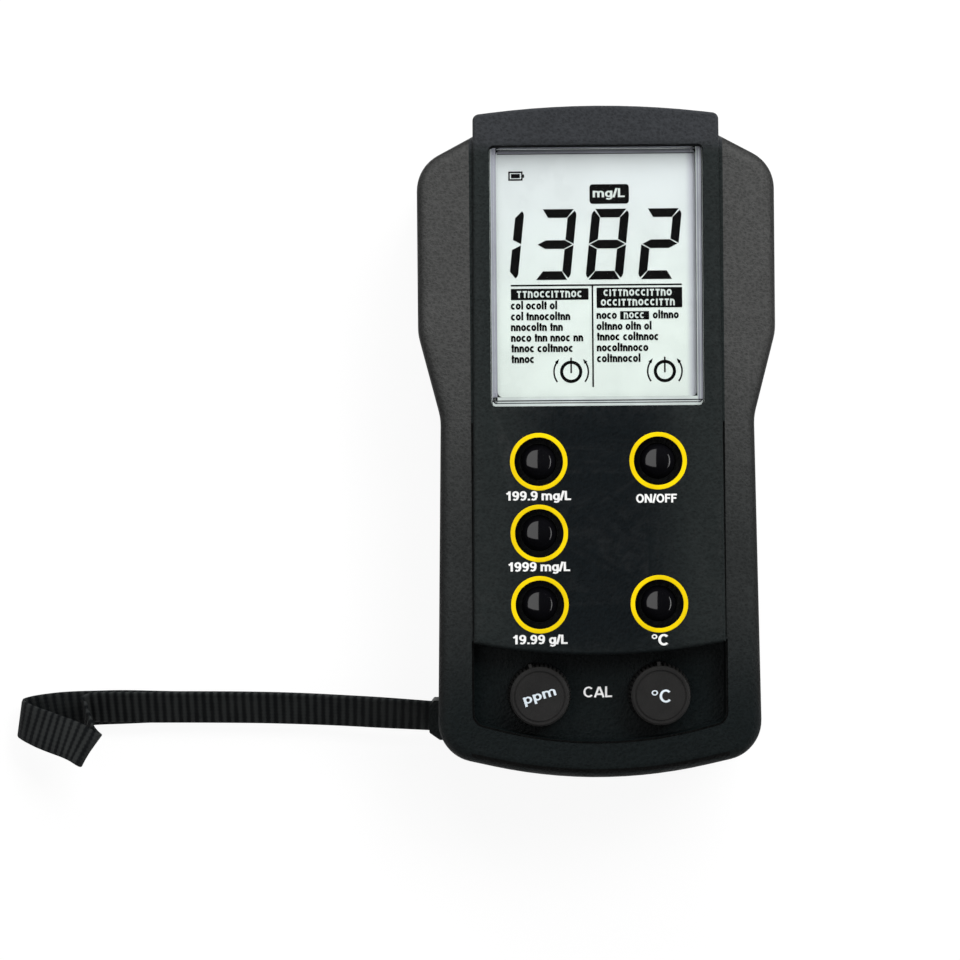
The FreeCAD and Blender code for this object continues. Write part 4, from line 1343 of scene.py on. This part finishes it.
        # painted highlight, painted reflection and painted shade along the window's edges
        for name, finish, lines in self.edge_lines:
            edge = Piece(name, finish.build(), Slot.DISPLAY)
            for left, right, low, high, level in lines:
                corners = [(left, low), (right, low), (right, high), (left, high)]
                edge.plate(corners, level, level + PRINT_LIFT)
            edge.finish()

    def add_plate(self, piece: Piece, corners: Line) -> None:
        """Adds one dark shape of the display."""
        piece.plate(corners, self.level, self.level + self.depth)

    def add_figure(self, piece: Piece, bars: str, left: float) -> None:
        """Adds one slanted figure made of bars.

        Args:
            piece: The piece that it goes into.
            bars: Its bars, from a at the top, clockwise to f, and g in the middle.
            left: X of its lower left corner.
        """
        wide, tall, bar, gap = self.digit_width, self.digit_height, self.bar, self.gap
        middle, near, far, half = tall / 2, bar + gap, wide - bar - gap, bar / 2
        upper_left = [(x, tall - down) for x, down in self.shoulder]
        upper_left += [(0, middle + gap), (bar, middle + half + gap), (bar, tall - bar)]
        top = [(self.cut, tall), (near, tall - bar), (far, tall - bar), (wide - self.cut, tall)]
        cross = [(2 * gap, middle), (near, middle - half), (far, middle - half)]
        cross += [(wide - 2 * gap, middle), (far, middle + half), (near, middle + half)]
        outlines = {
            "a": top,
            "b": [(wide - x, y) for x, y in reversed(upper_left)],
            "c": [(wide - x, tall - y) for x, y in upper_left],
            "d": [(x, tall - y) for x, y in reversed(top)],
            "e": [(x, tall - y) for x, y in reversed(upper_left)],
            "f": upper_left,
            "g": cross,
        }
        lean = math.tan(math.radians(self.slant))
        for name in bars:
            self.add_plate(piece, [(left + x + y * lean, self.digit_foot + y) for x, y in outlines[name]])

    def add_line(
        self,
        piece: Piece,
        left: float,
        middle: float,
        words: tuple[int, ...],
        size: float = 1.0,
        heading: bool = False,
    ) -> None:
        """Adds a line of plain pen marks that spell nothing.

        Args:
            piece: The piece that they go into.
            left: X at which the line starts.
            middle: Height of its middle.
            words: The marks in each of its words.
            size: Size against the small print's own.
            heading: Whether all marks are equally high, as in a heading.
        """
        marks = HEADING_MARKS if heading else TEXT_MARKS
        weight = self.letter_weight * (self.heading_weight if heading else 1.0)
        high = self.letter_height * size
        wide = high * self.letter_stretch
        face = self.level + self.depth + PRINT_LIFT / 2
        fit = Matrix.Diagonal((wide, high, 1, 1))
        for word, letters in enumerate(words):
            for letter in range(letters):
                step, strokes = marks[(letter * 3 + word * 2 + letters) % len(marks)]
                for index, line in enumerate(strokes):
                    level = face + STROKE_LIFT * (index + 2 * (letter % 2))
                    corner = Matrix.Translation((left, middle - high / 2, level))
                    piece.stroke(line, weight, corner @ fit)
                left += step * wide
            left += self.word_gap * high

    def add_knob_sign(self, piece: Piece, centre: Point) -> None:
        """Adds the sign of a knob that is turned both ways.

        Args:
            piece: The piece that it goes into.
            centre: Its centre.
        """
        x, y = centre
        levels = (self.level, self.level + self.depth)
        piece.arc_band(centre, self.sign_ring, (0, 360), levels)
        half, down, up = self.sign_bar
        self.add_plate(piece, rounded_corners(x - half, x + half, y - down, y + up, 0.1, 2))
        for side, way in ((0, 1), (180, -1)):
            piece.arc_band(centre, self.sign_arc, (side - self.sign_span, side + self.sign_span), levels)
            angle = math.radians(side + way * self.sign_span)
            tip = around(centre, self.arrow_radius, angle)
            ahead = angle + way * math.pi / 2
            self.add_plate(piece, [around(tip, reach, ahead + spread) for spread, reach in self.arrow])


@dataclass
class ButtonPad:
    """Five polished buttons with printed rings and plain numbers under them.

    Each label has its words, the X and Y of its centre, its width and its height.
    """

    column: float = 13.3
    rows: Place = (-4.25, -20.2, -36.1)
    ring_radii: Point = (5.42, 6.40)
    ring_levels: Point = (36.005, 36.035)
    face: float = 36.0
    cap: Finish = Finish(
        "button_black", (0.003, 0.003, 0.004), 0.10, specular=0.5, pitch=500.0, relief=0.004, dust=0.006
    )
    yellow: Finish = Finish(
        "ring_yellow", (0.86, 0.62, 0.0), 0.45, specular=0.08, pitch=1500.0, relief=0.08, variation=0.08
    )
    white: Finish = Finish(
        "label_white", (0.85, 0.85, 0.84), 0.5, specular=0.3, pitch=1500.0, relief=0.08, variation=0.06
    )
    labels: tuple[tuple[str, float, float, float, float], ...] = (
        ("199.9 mg/L", -13.35, -12.1, 14.9, 2.7),
        ("1999 mg/L", -13.35, -27.9, 14.2, 2.7),
        ("19.99 g/L", -13.25, -44.1, 12.6, 2.7),
        ("ON/OFF", 12.95, -12.7, 9.3, 2.2),
        ("°C", 13.3, -44.0, 3.9, 2.3),
    )

    def build(self) -> None:
        """Dresses the caps and prints rings and labels on the panel."""
        ranges = ("low_range_button", "middle_range_button", "high_range_button")
        dress((*ranges, "power_button", "temperature_button"), self.cap)
        rings = Piece("button_rings", self.yellow.build(), Slot.CASE)
        places = [(-self.column, row) for row in self.rows]
        for place in (*places, (self.column, self.rows[0]), (self.column, self.rows[2])):
            rings.arc_band(place, self.ring_radii, (0, 360), self.ring_levels)
        rings.finish()
        labels = Piece("panel_labels", self.white.build(), Slot.CASE)
        for words, x, y, width, height in self.labels:
            Lettering(words, (x, y), width, height, self.face + PRINT_LIFT).add_to(labels)
        labels.finish()


@dataclass
class TrimKnobs:
    """Two knurled knobs in the recess and the mark between them."""

    left: Point = (-13.5, -56.6)
    right: Point = (13.5, -56.6)
    top: float = 35.6
    floor: float = 29.0
    rubber: Finish = Finish(
        "knob_black", (0.0125, 0.0121, 0.0119), 0.5, specular=0.18, pitch=1400.0, relief=0.12,
        variation=0.15, wear=0.3, worn=(0.04, 0.04, 0.04), dust=0.01,
    )
    white: Finish = Finish(
        "knob_print", (0.70, 0.78, 0.84), 0.5, specular=0.3, pitch=1500.0, relief=0.08, variation=0.08
    )
    recess_white: Finish = Finish(
        "recess_print", (0.95, 0.95, 0.95), 0.5, specular=0.3, pitch=1500.0, relief=0.05, variation=0.04
    )

    def build(self) -> None:
        """Dresses the knobs and prints their marks."""
        dress(("tds_knob", "temperature_knob"), self.rubber)
        white = self.white.build()
        top, floor = self.top + PRINT_LIFT, self.floor + PRINT_LIFT
        for piece, lettering in (
            (
                Piece("left_knob_print", white, Slot.KNOB, Body.LEFT_KNOB),
                Lettering("ppm", self.left, 7.4, 2.9, top, 17.0, 0.15),
            ),
            (
                Piece("right_knob_print", white, Slot.KNOB, Body.RIGHT_KNOB),
                Lettering("°C", self.right, 4.4, 2.7, top, 2.0, 0.15),
            ),
            (
                Piece("recess_label", self.recess_white.build(), Slot.CASE),
                Lettering("CAL", (-0.2, -56.1), 6.7, 2.45, floor, weight=0.15),
            ),
        ):
            lettering.add_to(piece)
            piece.finish()


@dataclass
class ProbeSocket:
    """Round socket in the top end."""

    nickel: Finish = Finish(
        "socket_nickel", (0.60, 0.59, 0.56), 0.22, metallic=1.0, relief=0.05, variation=0.05, brushed=True
    )
    insert: Finish = Finish("insert_grey", (0.06, 0.06, 0.065), 0.5, pitch=1600.0, relief=0.1)
    gold: Finish = Finish(
        "contact_gold", (0.86, 0.62, 0.24), 0.25, metallic=1.0, relief=0.03, variation=0.05
    )

    def build(self) -> None:
        """Dresses the CAD nodes."""
        dress(("probe_socket_shell", "probe_socket_nut"), self.nickel)
        dress(("probe_socket_insert",), self.insert)
        dress(("probe_socket_contacts",), self.gold)


@dataclass
class Internals:
    """Board, battery and what is screwed or soldered inside."""

    finishes: tuple[tuple[tuple[str, ...], Finish], ...] = (
        (
            ("circuit_board",),
            BoardFinish("board_green", (0.03, 0.18, 0.08), 0.35, pitch=700.0, relief=0.05),
        ),
        (
            ("circuit_chips", "button_switches"),
            Finish("chip_black", (0.02, 0.02, 0.02), 0.6, pitch=2500.0, relief=0.2),
        ),
        (
            ("capacitors",),
            Finish("can_aluminium", (0.6, 0.6, 0.62), 0.3, metallic=1.0, relief=0.03, brushed=True),
        ),
        (("tds_shaft", "temperature_shaft"), Finish("shaft_grey", (0.5, 0.5, 0.5), 0.5, relief=0.08)),
        (
            ("tds_potentiometer", "temperature_potentiometer"),
            Finish("pot_blue", (0.05, 0.15, 0.4), 0.45, relief=0.08),
        ),
        (("lcd_frame", "strap_anchor"), Finish("frame_plastic", (0.75, 0.75, 0.72), 0.5, relief=0.08)),
        (("lcd_contact_strips",), StripedFinish("strip_rubber", (0.45, 0.45, 0.45), 0.7, relief=0.05)),
        (
            ("case_screws", "board_screws"),
            Finish(
                "screw_steel", (0.45, 0.45, 0.46), 0.3, metallic=1.0, relief=0.06, variation=0.08, brushed=True
            ),
        ),
        (
            ("battery",),
            Finish("battery_jacket", (0.1, 0.1, 0.11), 0.3, coat=0.3, relief=0.03, variation=0.1, wear=0.2),
        ),
        (("battery_snap",), Finish("snap_black", (0.03, 0.03, 0.03), 0.6, pitch=1500.0, relief=0.15)),
        (("battery_leads",), Finish("lead_red", (0.45, 0.03, 0.03), 0.45, pitch=1500.0, relief=0.05)),
    )

    def build(self) -> None:
        """Dresses the CAD nodes."""
        for nodes, finish in self.finishes:
            dress(nodes, finish)


def main() -> None:
    """Builds the scene, the camera and the strap first."""
    logging.basicConfig(level=logging.INFO, format="%(name)s: %(message)s")
    bpy.context.scene.view_settings.view_transform = "Standard"
    EffectShelf().build()
    parts = (Studio, WristStrap, CaseShells, DisplayUnit, ButtonPad, TrimKnobs, ProbeSocket, Internals)
    for kind in parts:
        log.info("building %s", kind.__name__)
        kind().build()


if __name__ == "__main__":
    main()
